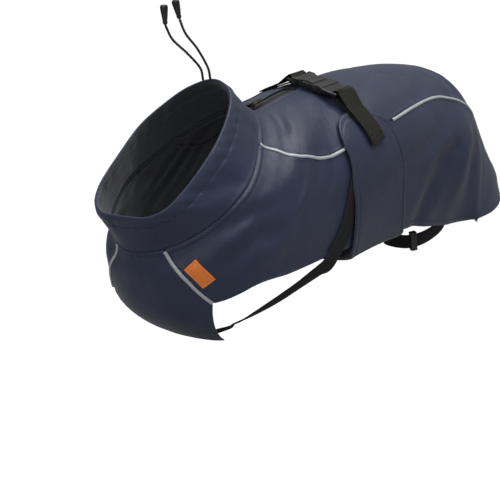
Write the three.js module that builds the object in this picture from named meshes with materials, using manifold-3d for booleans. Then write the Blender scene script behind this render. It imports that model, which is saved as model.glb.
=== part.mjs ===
// A dog raincoat in its worn form, hollow. Millimetres, +Z up, the head end towards -Y, the coat's
// left side towards +X. The origin lies on the inner face of the back, under the belt buckle.
import * as THREE from "three";
import { mergeVertices } from "three/addons/utils/BufferGeometryUtils.js";
import Module from "manifold-3d";

const CLOTH_WALL = 1.6; // softshell cloth
const EDGE_PULL = 0.2; // a panel stops this short of its seam line
const LAYER_GAP = 0.3; // air between two layers
const PIPING_HALF = 1.7; // half the visible width of the reflective piping
const PIPING_HIGH = 1.7; // top of the piping above the cloth
const STRAP_MIDDLE = 1.1; // middle of the elastic above the panel it lies on
const BAND_LOW = 2.4; // underside of the belly band above the side panels
const BAND_HIGH = 4;
const WEBBING_HALF = 12.5; // belt webbing, 25 wide
const WEBBING_THICK = 1.5;
const CHEST_STRAP_HALF = 10; // elastic, 20 wide
const LEG_STRAP_HALF = 7.5; // elastic, 15 wide
const ELASTIC_THICK = 1.4;
const ZIP_HALF_FRONT = 5; // half the opening over the zip at the collar
const ZIP_HALF_REAR = 8;
const ZIP_END_Y = -14;
const ZIP_TAPE_HALF = 12.5; // half the width of both tapes
const ZIP_TAPE_HIGH = -2.1;
const ZIP_TAPE_LOW = -3.1;
const CORD_RADIUS = 1.2;
const SEAM = 1; // section number of the collar seam
const TAIL = 14; // section number of the tail hem
const PIPING_ROWS = 36; // grid rows along the back

// One row for each section of the coat. A section is a ring in a plane across the coat: its top point
// on the spine, its low point under the chest or belly, its half width, where between top and low
// point it is widest, and how square its upper and lower parts are.
const SECTION_COLUMNS = ["topY", "topZ", "lowY", "lowZ", "half", "widest", "upper", "lower"];
const SECTIONS = [
  ["collar_top", -146, 20, -282, -87, 48, 0.54, 2.0, 3.3],
  ["collar_seam", -100, -8, -262, -121, 66, 0.54, 1.5, 2.0],
  ["chest_high", -84, -13, -256, -150, 77, 0.55, 1.8, 2.2],
  ["chest_low", -64, -8, -231, -190, 86, 0.56, 2.1, 2.4],
  ["front_legs", -38, -3.5, -170, -219, 90, 0.54, 2.1, 2.6],
  ["sternum", -8, 1, -90, -222, 91, 0.48, 2.1, 2.6],
  ["belly_front", 28, 4, -10, -222, 91, 0.42, 2.1, 2.6],
  ["belly", 75, 8, 70, -222, 91, 0.4, 2.1, 2.6],
  ["loin", 130, 11, 130, -222, 89, 0.4, 2.1, 2.6],
  ["hip", 192, 10, 185, -221, 88, 0.42, 2.1, 2.6],
  ["croup", 245, 1, 210, -220, 88, 0.5, 2.1, 2.6],
  ["rump", 285, -23, 216, -213, 89, 0.8, 2.2, 2.4],
  ["tail_root", 321, -62, 218, -203, 90, 1.0, 2.3, 2.2],
  ["tail_low", 352, -106, 218, -188, 90, 1.0, 2.4, 2.2],
  ["tail_hem", 374, -148, 218, -172, 90, 1.0, 2.4, 2.2],
];

// Height of the lower hem along the coat.
const HEM = [
  { y: -226, z: -167 },
  { y: -198, z: -155 },
  { y: -150, z: -150 },
  { y: -93, z: -145.5 },
  { y: -30, z: -144 },
  { y: 20, z: -144 },
  { y: 80, z: -147 },
  { y: 130, z: -154 },
  { y: 170, z: -159 },
  { y: 220, z: -162 },
  { y: 270, z: -161 },
  { y: 320, z: -155 },
  { y: 380, z: -147 },
];

// The side seam with its piping: ring position (0 spine, 1 belly) for each section number.
const SIDE_SEAM = [
  { u: 1, q: 0.283 },
  { u: 1.62, q: 0.285 },
  { u: 2.4, q: 0.303 },
  { u: 3.3, q: 0.312 },
  { u: 4.6, q: 0.322 },
  { u: 5.6, q: 0.322 },
  { u: 6.5, q: 0.314 },
  { u: 7.5, q: 0.294 },
  { u: 8.58, q: 0.274 },
  { u: 9.3, q: 0.284 },
  { u: 9.9, q: 0.29 },
  { u: 11.08, q: 0.245 },
  { u: 12, q: 0.235 },
  { u: 14, q: 0.23 },
];

// Seam between the chest and the side panel, and on down the edge of the flap between the legs.
const CHEST_SEAM = [
  { u: 1, q: 0.87 },
  { u: 1.6, q: 0.85 },
  { u: 2.2, q: 0.82 },
  { u: 2.75, q: 0.785 },
];
const FLAP_EDGE = [
  { u: 2.75, q: 0.785 },
  { u: 3.1, q: 0.825 },
  { u: 3.5, q: 0.872 },
  { u: 3.9, q: 0.915 },
];
const FLAP_END = [
  { u: 3.9, q: 0.915 },
  { u: 3.84, q: 0.957 },
  { u: 3.8, q: 1 },
  { u: 3.84, q: 1.043 },
  { u: 3.9, q: 1.085 },
];
const SIDE_FRONT = SIDE_SEAM[0].q; // ring positions where the seams meet the collar
const CHEST_FRONT = CHEST_SEAM[0].q;
const SKIRT_FRONT = CHEST_SEAM[3]; // where the hem of a side panel begins
const HEM_CORNER = 0.36; // ring position where a side panel's hem ends and its rear edge begins

// The largest folds: from one surface place to another, with width and height, alike on both sides.
const FOLDS = [
  { name: "skirt_trough", u0: 8.68, q0: 0.47, u1: 7.4, q1: 0.62, width: 13, height: -4.5 },
  { name: "skirt_ridge", u0: 9.4, q0: 0.43, u1: 8.5, q1: 0.62, width: 16, height: 3 },
  { name: "skirt_soft", u0: 6.95, q0: 0.48, u1: 8.1, q1: 0.43, width: 13, height: -2 },
  { name: "under_seam_front", u0: 2.85, q0: 0.33, u1: 3.1, q1: 0.45, width: 11, height: -1.8 },
  { name: "under_seam_mid", u0: 3.58, q0: 0.33, u1: 3.4, q1: 0.46, width: 11, height: -2 },
  { name: "under_seam_rear", u0: 4.2, q0: 0.33, u1: 3.9, q1: 0.45, width: 11, height: -1.8 },
  { name: "shoulder_high", u0: 1.35, q0: 0.64, u1: 2.6, q1: 0.44, width: 13, height: -2.2 },
  { name: "shoulder_mid", u0: 2.2, q0: 0.66, u1: 3.4, q1: 0.48, width: 13, height: -2.6 },
  { name: "shoulder_low", u0: 2.7, q0: 0.58, u1: 4.1, q1: 0.49, width: 12, height: 2 },
  { name: "beside_zip", u0: 2.3, q0: 0.1, u1: 2.2, q1: 0.23, width: 13, height: -2.2 },
  { name: "rump_soft", u0: 7.8, q0: 0.26, u1: 8.9, q1: 0.12, width: 14, height: -1.8 },
];
const FOLD_MM_PER_U = 42;
const FOLD_MM_PER_Q = 270;

const cloth = new THREE.MeshStandardMaterial({ name: "shell_cloth", color: 0x343a49, roughness: 0.6 });
const piping = new THREE.MeshStandardMaterial({ name: "reflective_piping", color: 0x9aa0a4, roughness: 0.5 });
const webbing = new THREE.MeshStandardMaterial({ name: "webbing", color: 0x191915, roughness: 0.9 });
const elastic = new THREE.MeshStandardMaterial({ name: "elastic", color: 0x121214, roughness: 0.9 });
const plastic = new THREE.MeshStandardMaterial({ name: "black_plastic", color: 0x0d0d0f, roughness: 0.35 });
const tape = new THREE.MeshStandardMaterial({ name: "zip_tape", color: 0x2a2b2e, roughness: 0.9 });
const metal = new THREE.MeshStandardMaterial({ name: "zip_metal", color: 0x101012, roughness: 0.25 });
const leather = new THREE.MeshStandardMaterial({ name: "label_leather", color: 0xb4581e, roughness: 0.6 });
const cordMaterial = new THREE.MeshStandardMaterial({ name: "cord", color: 0x151517, roughness: 0.9 });

const coat = new THREE.Group();
coat.name = "dog_raincoat";

// Smooth curve through equally spaced values.
function smoothValue(values, position) {
  const last = values.length - 1;
  const at = Math.min(Math.max(position, 0), last);
  const i = Math.min(Math.floor(at), last - 1);
  const t = at - i;
  const b = values[i];
  const c = values[i + 1];
  const a = i > 0 ? values[i - 1] : 2 * b - c;
  const d = i < last - 1 ? values[i + 2] : 2 * c - b;
  return 0.5 * (2 * b + (c - a) * t + (2 * a - 5 * b + 4 * c - d) * t * t + (3 * b - a - 3 * c + d) * t ** 3);
}

function section(u) {
  const value = {};
  SECTION_COLUMNS.forEach((column, k) => {
    value[column] = smoothValue(SECTIONS.map((row) => row[k + 1]), u);
  });
  return value;
}

// Value in a table of rows, straight between rows.
function lookup(rows, from, to, x) {
  if (x <= rows[0][from]) return rows[0][to];
  for (let i = 1; i < rows.length; i++) {
    if (x <= rows[i][from]) {
      const t = (x - rows[i - 1][from]) / (rows[i][from] - rows[i - 1][from]);
      return rows[i - 1][to] + t * (rows[i][to] - rows[i - 1][to]);
    }
  }
  return rows[rows.length - 1][to];
}

// Smooth walk along a table of surface places, t from 0 to 1.
function along(rows, t) {
  const at = t * (rows.length - 1);
  return { u: smoothValue(rows.map((r) => r.u), at), q: smoothValue(rows.map((r) => r.q), at) };
}

function bodyPoint(u, q) {
  const s = section(u);
  const sine = Math.sin(Math.PI * q);
  const cosine = Math.cos(Math.PI * q);
  const power = cosine >= 0 ? s.upper : s.lower;
  const across = s.half * Math.sign(sine) * Math.abs(sine) ** (2 / power);
  const rest = Math.abs(cosine) ** (2 / power);
  const down = cosine >= 0 ? s.widest * (1 - rest) : s.widest + (1 - s.widest) * rest;
  return new THREE.Vector3(across, s.topY + down * (s.lowY - s.topY), s.topZ + down * (s.lowZ - s.topZ));
}

function bodyNormal(u, q) {
  const du = bodyPoint(Math.min(u + 0.03, TAIL), q).sub(bodyPoint(Math.max(u - 0.03, 0), q));
  const dq = bodyPoint(u, q + 0.006).sub(bodyPoint(u, q - 0.006));
  return dq.cross(du).normalize();
}

function foldHeight(u, q) {
  const signed = q > 1 ? q - 2 : q;
  let height = 0;
  for (const fold of FOLDS) {
    const ax = fold.u0 * FOLD_MM_PER_U;
    const ay = fold.q0 * FOLD_MM_PER_Q;
    const bx = fold.u1 * FOLD_MM_PER_U - ax;
    const by = fold.q1 * FOLD_MM_PER_Q - ay;
    const px = u * FOLD_MM_PER_U - ax;
    const py = Math.abs(signed) * FOLD_MM_PER_Q - ay;
    const t = Math.min(Math.max((px * bx + py * by) / (bx * bx + by * by), 0), 1);
    const far = Math.hypot(px - t * bx, py - t * by);
    height += fold.height * Math.exp(-((far / fold.width) ** 2));
  }
  return height;
}

// A place on the folded coat: the point on its outer face and the way out.
function place(u, q, lift = 0) {
  const up = bodyNormal(u, q);
  const point = bodyPoint(u, q).addScaledVector(up, foldHeight(u, q) + lift);
  return { point, up };
}

// Section number where the ring position q has the given y.
function sectionAtY(q, y) {
  let low = 0;
  let high = TAIL;
  for (let k = 0; k < 40; k++) {
    const mid = (low + high) / 2;
    if (bodyPoint(mid, q).y < y) low = mid;
    else high = mid;
  }
  return (low + high) / 2;
}

// Ring position of the hem on one section.
function hemPosition(u) {
  let low = 0.02;
  let high = 0.95;
  for (let k = 0; k < 40; k++) {
    const mid = (low + high) / 2;
    const p = bodyPoint(u, mid);
    if (p.z > lookup(HEM, "y", "z", p.y)) low = mid;
    else high = mid;
  }
  return (low + high) / 2;
}

// Section number of the hem at one ring position of the tail.
function hemSection(q) {
  let low = 11;
  let high = TAIL;
  for (let k = 0; k < 40; k++) {
    const mid = (low + high) / 2;
    const p = bodyPoint(mid, q);
    if (p.z > lookup(HEM, "y", "z", p.y)) low = mid;
    else high = mid;
  }
  return (low + high) / 2;
}

// Ring position at a distance x from the spine.
function positionAtX(u, x) {
  const s = section(u);
  return Math.asin((x / s.half) ** (s.upper / 2)) / Math.PI;
}

const sideSeam = (u) => lookup(SIDE_SEAM, "u", "q", u);
const between = (a, b, t) => a + (b - a) * t;

// A patch of the coat between four edges that are given as surface places.
function patch(top, bottom, left, right, rows, columns) {
  const grid = [];
  for (let i = 0; i <= rows; i++) {
    const s = i / rows;
    const line = [];
    for (let j = 0; j <= columns; j++) {
      const t = j / columns;
      const mix = {};
      for (const k of ["u", "q"]) {
        const edges = (1 - t) * top(s)[k] + t * bottom(s)[k] + (1 - s) * left(t)[k] + s * right(t)[k];
        const near = (1 - s) * ((1 - t) * top(0)[k] + t * bottom(0)[k]);
        const far = s * ((1 - t) * top(1)[k] + t * bottom(1)[k]);
        mix[k] = edges - near - far;
      }
      line.push(mix);
    }
    grid.push(line);
  }
  return grid;
}

const onCoat = (grid) => grid.map((line) => line.map((g) => place(g.u, g.q)));

// Moves the rim of a grid inwards, so that two panels leave the seam gap between them.
function pullEdges(grid, amount, sides) {
  const rows = grid.length - 1;
  const columns = grid[0].length - 1;
  const shift = (a, b) => {
    const step = b.point.clone().sub(a.point);
    a.point.addScaledVector(step.normalize(), amount);
  };
  if (sides.includes("left")) for (let j = 0; j <= columns; j++) shift(grid[0][j], grid[1][j]);
  if (sides.includes("right")) for (let j = 0; j <= columns; j++) shift(grid[rows][j], grid[rows - 1][j]);
  if (sides.includes("top")) for (let i = 0; i <= rows; i++) shift(grid[i][0], grid[i][1]);
  if (sides.includes("bottom")) for (let i = 0; i <= rows; i++) shift(grid[i][columns], grid[i][columns - 1]);
  return grid;
}

function addBody(name, points, faces, material) {
  const position = new Float32Array(points.flatMap((p) => [p.x, p.y, p.z]));
  let volume = 0;
  for (const [a, b, c] of faces) {
    volume += points[a].dot(new THREE.Vector3().crossVectors(points[b], points[c]));
  }
  const index = faces.flatMap(([a, b, c]) => (volume < 0 ? [a, c, b] : [a, b, c]));
  const geometry = new THREE.BufferGeometry();
  geometry.setAttribute("position", new THREE.BufferAttribute(position, 3));
  geometry.setIndex(index);
  geometry.computeVertexNormals();
  const mesh = new THREE.Mesh(geometry, material);
  mesh.name = name;
  coat.add(mesh);
  return mesh;
}

// A sheet with two faces and a rim, from a grid of places. Cells can be left out, and the grid can
// close on itself across its columns.
function addSheet(name, grid, low, high, material, options = {}) {
  const { skip = () => false, ring = false } = options;
  const rows = grid.length - 1;
  const columns = grid[0].length - (ring ? 0 : 1);
  const points = [];
  const number = new Map();
  const vertex = (i, j, layer) => {
    const column = ring ? j % grid[0].length : j;
    const key = `${i} ${column} ${layer}`;
    if (!number.has(key)) {
      const g = grid[i][column];
      number.set(key, points.length);
      points.push(g.point.clone().addScaledVector(g.up, layer ? high : low));
    }
    return number.get(key);
  };
  const wrap = (j) => (ring ? (j + columns) % columns : j);
  const filled = (i, j) => {
    const column = wrap(j);
    return i >= 0 && i < rows && column >= 0 && column < columns && !skip(i, column);
  };
  const faces = [];
  for (let i = 0; i < rows; i++) {
    for (let j = 0; j < columns; j++) {
      if (!filled(i, j)) continue;
      const corner = [[i, j], [i + 1, j], [i + 1, j + 1], [i, j + 1]];
      const outer = corner.map(([a, b]) => vertex(a, b, 1));
      const inner = corner.map(([a, b]) => vertex(a, b, 0));
      faces.push([outer[0], outer[1], outer[2]], [outer[0], outer[2], outer[3]]);
      faces.push([inner[0], inner[2], inner[1]], [inner[0], inner[3], inner[2]]);
      const neighbour = [[i, j - 1], [i + 1, j], [i, j + 1], [i - 1, j]];
      neighbour.forEach(([a, b], k) => {
        if (filled(a, b)) return;
        const next = (k + 1) % 4;
        faces.push([outer[next], outer[k], inner[k]], [outer[next], inner[k], inner[next]]);
      });
    }
  }
  return addBody(name, points, faces, material);
}

// A flat strip along stations, each with a point, a way across and a way up. The right side's strips
// are made from the left side's stations, mirrored.
// Both flat sides are split along the same diagonals, so a twisted strip doesn't cut through itself.
function addStrip(name, stations, outline, material, mirror = 1) {
  const points = [];
  const faces = [];
  const n = outline.length;
  stations.forEach((s, i) => {
    for (const [x, y] of outline) {
      const p = s.point.clone().addScaledVector(s.side, x).addScaledVector(s.up, y);
      points.push(new THREE.Vector3(mirror * p.x, p.y, p.z));
    }
    if (i === 0) return;
    for (let k = 0; k < n; k++) {
      const next = (k + 1) % n;
      const a = (i - 1) * n + k;
      const b = (i - 1) * n + next;
      const c = i * n + next;
      const d = i * n + k;
      if (2 * k < n) faces.push([a, b, c], [a, c, d]);
      else faces.push([a, b, d], [b, c, d]);
    }
  });
  const end = (stations.length - 1) * n;
  for (let k = 1; k < n - 1; k++) {
    faces.push([0, k + 1, k], [end, end + k, end + k + 1]);
  }
  return addBody(name, points, faces, material);
}

const flat = (half, low, high) => [[-half, low], [half, low], [half, high], [-half, high]];

// Stations from points and their ways up, with the way across worked out from the path.
function stationsOf(path) {
  return path.map((p, i) => {
    const before = path[Math.max(i - 1, 0)].point;
    const after = path[Math.min(i + 1, path.length - 1)].point;
    const way = after.clone().sub(before).normalize();
    const side = new THREE.Vector3().crossVectors(way, p.up).normalize();
    const up = new THREE.Vector3().crossVectors(side, way).normalize();
    return { point: p.point, side, up };
  });
}

const mirrorPath = (path) =>
  path.map((p) => ({
    point: new THREE.Vector3(-p.point.x, p.point.y, p.point.z),
    up: new THREE.Vector3(-p.up.x, p.up.y, p.up.z),
  }));

// Smooth path through free points, each with a way up.
function freePath(rows, steps) {
  const path = [];
  const curve = (key, t) => smoothValue(rows.map((r) => r[key]), t);
  for (let i = 0; i <= steps; i++) {
    const t = (i / steps) * (rows.length - 1);
    const point = new THREE.Vector3(curve("x", t), curve("y", t), curve("z", t));
    const up = new THREE.Vector3(curve("upX", t), curve("upY", t), curve("upZ", t)).normalize();
    path.push({ point, up });
  }
  return path;
}

// Back panel, from side seam to side seam, with the opening over the zip.
const zipEndSection = sectionAtY(0, ZIP_END_Y);
const zipHalf = (u) => between(ZIP_HALF_FRONT, ZIP_HALF_REAR, Math.min((u - SEAM) / 1.5, 1));
const rowSection = (i) => between(SEAM, TAIL, i / PIPING_ROWS);
const BACK_COLUMNS = [-1, -0.8, -0.6, -0.4, -0.2, "zip", "zip", 0.2, 0.4, 0.6, 0.8, 1];
const zipRows = Math.round(((zipEndSection - SEAM) / (TAIL - SEAM)) * PIPING_ROWS);
function backPositions(u) {
  const zip = positionAtX(u, zipHalf(u));
  return BACK_COLUMNS.map((c, k) => (c === "zip" ? (k < 6 ? -zip : zip) : c * sideSeam(u)));
}
const backGrid = [];
for (let i = 0; i <= PIPING_ROWS; i++) {
  const u = rowSection(i);
  backGrid.push(backPositions(u).map((q) => place(u, q)));
}
pullEdges(backGrid, EDGE_PULL, ["left", "top", "bottom"]);
addSheet("back_panel", backGrid, -CLOTH_WALL, 0, cloth, { skip: (i, j) => j === 5 && i < zipRows });

// Side panels: side seam above, collar seam in front, chest seam and hem below, tail hem behind.
const CHEST_ROWS = 6;
const SIDE_COLUMNS = 14;
// Share of a walk's length that is reached at each of its steps.
function shares(walk) {
  const reached = [0];
  for (let i = 1; i < walk.length; i++) {
    const step = bodyPoint(walk[i].u, walk[i].q).distanceTo(bodyPoint(walk[i - 1].u, walk[i - 1].q));
    reached.push(reached[i - 1] + step);
  }
  return reached.map((r) => r / reached[reached.length - 1]);
}
const upperWalk = [];
for (let i = 0; i <= PIPING_ROWS; i++) upperWalk.push({ u: rowSection(i), q: sideSeam(rowSection(i)) });
const upperShare = shares(upperWalk);
const hemWalk = [];
for (let i = 0; i <= 100; i++) {
  const u = between(SKIRT_FRONT.u, hemSection(HEM_CORNER), i / 100);
  hemWalk.push({ u, q: Math.min(hemPosition(u), SKIRT_FRONT.q) });
}
const hemShare = shares(hemWalk).map((share, i) => ({ share, u: hemWalk[i].u, q: hemWalk[i].q }));
function sideLower(s) {
  const row = Math.round(s * PIPING_ROWS);
  if (row <= CHEST_ROWS) return along(CHEST_SEAM, row / CHEST_ROWS);
  const share = (upperShare[row] - upperShare[CHEST_ROWS]) / (1 - upperShare[CHEST_ROWS]);
  return { u: lookup(hemShare, "share", "u", share), q: lookup(hemShare, "share", "q", share) };
}
const sideUpper = (s) => ({ u: between(SEAM, TAIL, s), q: sideSeam(between(SEAM, TAIL, s)) });
const sideFront = (t) => ({ u: SEAM, q: between(SIDE_FRONT, CHEST_FRONT, t) });
function sideRear(t) {
  const q = between(sideSeam(TAIL), HEM_CORNER, t);
  return { u: t === 0 ? TAIL : hemSection(q), q };
}
const sidePlaces = patch(sideUpper, sideLower, sideFront, sideRear, PIPING_ROWS, SIDE_COLUMNS);
const mirrored = (places) => places.map((line) => line.map((g) => ({ u: g.u, q: -g.q })));
for (const [name, places] of [["side_panel_left", sidePlaces], ["side_panel_right", mirrored(sidePlaces)]]) {
  addSheet(name, pullEdges(onCoat(places), EDGE_PULL, ["left", "top", "bottom"]), -CLOTH_WALL, 0, cloth);
}

// Chest panel with the flap that runs back between the front legs.
const FLAP_ROWS = 6;
const CHEST_COLUMNS = 8;
const chestRows = CHEST_ROWS + FLAP_ROWS;
function chestLeft(s) {
  const row = s * chestRows;
  if (row <= CHEST_ROWS) return along(CHEST_SEAM, row / CHEST_ROWS);
  return along(FLAP_EDGE, (row - CHEST_ROWS) / FLAP_ROWS);
}
const chestRight = (s) => ({ u: chestLeft(s).u, q: 2 - chestLeft(s).q });
const chestTop = (t) => ({ u: SEAM, q: between(CHEST_FRONT, 2 - CHEST_FRONT, t) });
const chestEnd = (t) => along(FLAP_END, t);
const chestGrid = onCoat(patch(chestLeft, chestRight, chestTop, chestEnd, chestRows, CHEST_COLUMNS));
addSheet("chest_panel", pullEdges(chestGrid, EDGE_PULL, ["left", "top", "bottom"]), -CLOTH_WALL, 0, cloth);

// Collar, a ring from the collar seam up to the neck edge.
const COLLAR_ROWS = 5;
const stretch = (from, to, steps) =>
  Array.from({ length: steps }, (_, k) => between(from, to, (k + 1) / steps));
const ringPositions = [
  ...backPositions(SEAM),
  ...stretch(SIDE_FRONT, CHEST_FRONT, SIDE_COLUMNS),
  ...stretch(CHEST_FRONT, 2 - CHEST_FRONT, CHEST_COLUMNS),
  ...stretch(2 - CHEST_FRONT, 2 - SIDE_FRONT, SIDE_COLUMNS).slice(0, -1),
];
const collarGrid = [];
for (let i = 0; i <= COLLAR_ROWS; i++) {
  const u = between(SEAM, 0, i / COLLAR_ROWS);
  collarGrid.push(ringPositions.map((q) => place(u, q)));
}
pullEdges(collarGrid, EDGE_PULL, ["left"]);
addSheet("collar", collarGrid, -CLOTH_WALL, 0, cloth, { ring: true });

// Belly band: over the side panels from a rounded end beside the spine, on under the belly and up the
// other side. Rows go round the body, columns go from its front edge to its rear edge.
const BAND_FRONT_Y = -44; // where its rounded end begins
const BAND_REAR_Y = 46;
const BAND_FULL = 0.35; // ring position from where it has its full width
const BAND_LEAVES_COAT = 0.61; // ring position where it leaves the side panel
const BAND_SIDE_ROWS = 9;
const BAND_BELLY_ROWS = 8;
const BELLY_LOW = -156;
const BAND_EDGES = [
  { q: 0.2, front: -4, rear: 8 },
  { q: 0.24, front: -22, rear: 14 },
  { q: 0.3, front: -38, rear: 28 },
  { q: 0.35, front: -42, rear: 44 },
  { q: 0.42, front: -46, rear: 49 },
  { q: 0.5, front: -47, rear: 52 },
  { q: 0.6, front: -50, rear: 56 },
];
const BAND_END = [
  { across: 0, q: 0.315 },
  { across: 0.04, q: 0.272 },
  { across: 0.14, q: 0.236 },
  { across: 0.3, q: 0.222 },
  { across: 0.55, q: 0.232 },
  { across: 0.8, q: 0.272 },
  { across: 0.94, q: 0.312 },
  { across: 1, q: 0.36 },
];
const bandY = (q, across) =>
  between(lookup(BAND_EDGES, "q", "front", q), lookup(BAND_EDGES, "q", "rear", q), across);
const bandGrid = [];
for (let i = 0; i <= BAND_SIDE_ROWS; i++) {
  bandGrid.push(
    BAND_END.map((end) => {
      const q = between(end.q, BAND_LEAVES_COAT, i / BAND_SIDE_ROWS);
      const wide = between(BAND_FRONT_Y, BAND_REAR_Y, end.across);
      const full = bandY(Math.max(q, BAND_FULL), end.across);
      return place(sectionAtY(q, between(wide, full, Math.min(i / 3, 1))), q);
    }),
  );
}
const bandStart = bandGrid[BAND_SIDE_ROWS].map((g) => g.point.clone());
for (let i = 1; i <= 2 * BAND_BELLY_ROWS - 1; i++) {
  const angle = (Math.PI * i) / (2 * BAND_BELLY_ROWS);
  const width = Math.cos(angle);
  const depth = Math.sin(angle);
  bandGrid.push(
    bandStart.map((p) => {
      const x = p.x * Math.sign(width) * Math.abs(width) ** (2 / 2.5);
      const z = p.z + (BELLY_LOW - p.z) * depth ** (2 / 2.5);
      const up = new THREE.Vector3(width * 0.9, 0, -depth * 1.1).normalize();
      return { point: new THREE.Vector3(x, p.y, z), up };
    }),
  );
}
for (let i = BAND_SIDE_ROWS; i >= 0; i--) {
  bandGrid.push(
    bandGrid[i].map((g) => ({
      point: new THREE.Vector3(-g.point.x, g.point.y, g.point.z),
      up: new THREE.Vector3(-g.up.x, g.up.y, g.up.z),
    })),
  );
}
addSheet("belly_band", bandGrid, BAND_LOW, BAND_HIGH, cloth);

// Piping along the side seams, the chest seams and the rump.
const pipingOutline = [
  [-PIPING_HALF, LAYER_GAP],
  [PIPING_HALF, LAYER_GAP],
  [PIPING_HALF, 1.0],
  [PIPING_HALF * 0.5, PIPING_HIGH],
  [-PIPING_HALF * 0.5, PIPING_HIGH],
  [-PIPING_HALF, 1.0],
];
function addPiping(name, walk, steps, mirror) {
  const path = [];
  for (let i = 0; i <= steps; i++) {
    const g = walk(i / steps);
    path.push(place(g.u, g.q));
  }
  addStrip(name, stationsOf(path), pipingOutline, piping, mirror);
}
for (const [word, side] of [["left", 1], ["right", -1]]) {
  const front = (t) => ({ u: between(1.03, 4.75, t), q: sideSeam(between(1.03, 4.75, t)) });
  const rear = (t) => ({ u: between(6.62, 13.97, t), q: sideSeam(between(6.62, 13.97, t)) });
  addPiping(`side_piping_front_${word}`, front, 14, side);
  addPiping(`side_piping_rear_${word}`, rear, 26, side);
  addPiping(`chest_piping_${word}`, (t) => along(CHEST_SEAM, between(0.03, 0.99, t)), 8, side);
}

// Stitched leather label behind the left chest piping.
const LABEL = [
  { u: 1.62, q: 0.772 },
  { u: 2.32, q: 0.738 },
  { u: 2.36, q: 0.789 },
  { u: 1.76, q: 0.822 },
];
const edgeOf = (a, b) => (t) => ({ u: between(a.u, b.u, t), q: between(a.q, b.q, t) });
const labelGrid = onCoat(
  patch(edgeOf(LABEL[0], LABEL[1]), edgeOf(LABEL[3], LABEL[2]), edgeOf(LABEL[0], LABEL[3]),
    edgeOf(LABEL[1], LABEL[2]), 4, 3),
);
addSheet("label_patch", labelGrid, LAYER_GAP, 1.5, leather);

// Zip tapes under the opening in the back.
function addTape(name, side) {
  const grid = [];
  for (let i = 0; i <= zipRows + 1; i++) {
    const u = i === 0 ? SEAM + 0.06 : rowSection(i);
    const line = [0.4, zipHalf(u), ZIP_TAPE_HALF].map((x) => positionAtX(u, x));
    grid.push(line.map((q) => place(u, side * q)));
  }
  addSheet(name, grid, ZIP_TAPE_LOW, ZIP_TAPE_HIGH, tape);
}
addTape("zip_tape_left", 1);
addTape("zip_tape_right", -1);

// Hard pieces are cut from blocks.
const wasm = await Module();
wasm.setup();
function block(x0, x1, y0, y1, z0, z1) {
  const box = new THREE.BoxGeometry(x1 - x0, y1 - y0, z1 - z0);
  box.translate((x0 + x1) / 2, (y0 + y1) / 2, (z0 + z1) / 2);
  box.deleteAttribute("normal");
  box.deleteAttribute("uv");
  const merged = mergeVertices(box);
  const vertProperties = merged.attributes.position.array;
  const triVerts = new Uint32Array(merged.index.array);
  return new wasm.Manifold(new wasm.Mesh({ numProp: 3, vertProperties, triVerts }));
}
function addSolid(name, solid, frame, material) {
  const mesh = solid.getMesh();
  const points = [];
  for (let i = 0; i < mesh.vertProperties.length; i += mesh.numProp) {
    const p = mesh.vertProperties.subarray(i, i + 3);
    points.push(new THREE.Vector3(p[0], p[1], p[2]).applyMatrix4(frame));
  }
  const faces = [];
  for (let i = 0; i < mesh.triVerts.length; i += 3) {
    faces.push([mesh.triVerts[i], mesh.triVerts[i + 1], mesh.triVerts[i + 2]]);
  }
  return addBody(name, points, faces, material);
}
function frameAt(point, xAxis, up) {
  const z = up.clone().normalize();
  const y = new THREE.Vector3().crossVectors(z, xAxis).normalize();
  const x = new THREE.Vector3().crossVectors(y, z).normalize();
  return new THREE.Matrix4().makeBasis(x, y, z).setPosition(point);
}

// Zip slider with its bridge at the collar end, and the pull tab that hangs in the bridge.
const SLIDER_SECTION = sectionAtY(0, -88);
const sliderPlace = place(SLIDER_SECTION, 0);
const rearward = place(sectionAtY(0, -64), 0).point.sub(sliderPlace.point).normalize();
const across = new THREE.Vector3().crossVectors(rearward, sliderPlace.up);
const sliderUp = new THREE.Vector3().crossVectors(across, rearward);
const SLIDER_RISE = 2;
const sliderFrame = frameAt(sliderPlace.point.clone().addScaledVector(sliderUp, SLIDER_RISE), across, sliderUp);
const SLIDER_LOW = ZIP_TAPE_HIGH + LAYER_GAP + 0.6;
const sliderSolid = block(-4, 4, -5.2, 6, SLIDER_LOW, 0.6)
  .add(block(-1.1, 1.1, -4.5, -2.9, 0.5, 3.4))
  .add(block(-1.1, 1.1, 2.9, 4.5, 0.5, 3.4))
  .add(block(-1.1, 1.1, -4.5, 4.5, 2.6, 3.6));
addSolid("zip_slider", sliderSolid, sliderFrame, metal);
const tabSolid = block(-3, 3, -0.6, 0.6, 1.0, 2.2)
  .add(block(-3, -1.6, -0.6, 6.4, 1.0, 2.2))
  .add(block(1.6, 3, -0.6, 6.4, 1.0, 2.2))
  .add(block(-3, 3, 5.4, 22, 1.0, 2.2));
addSolid("zip_pull_tab", tabSolid, sliderFrame, metal);

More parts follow.
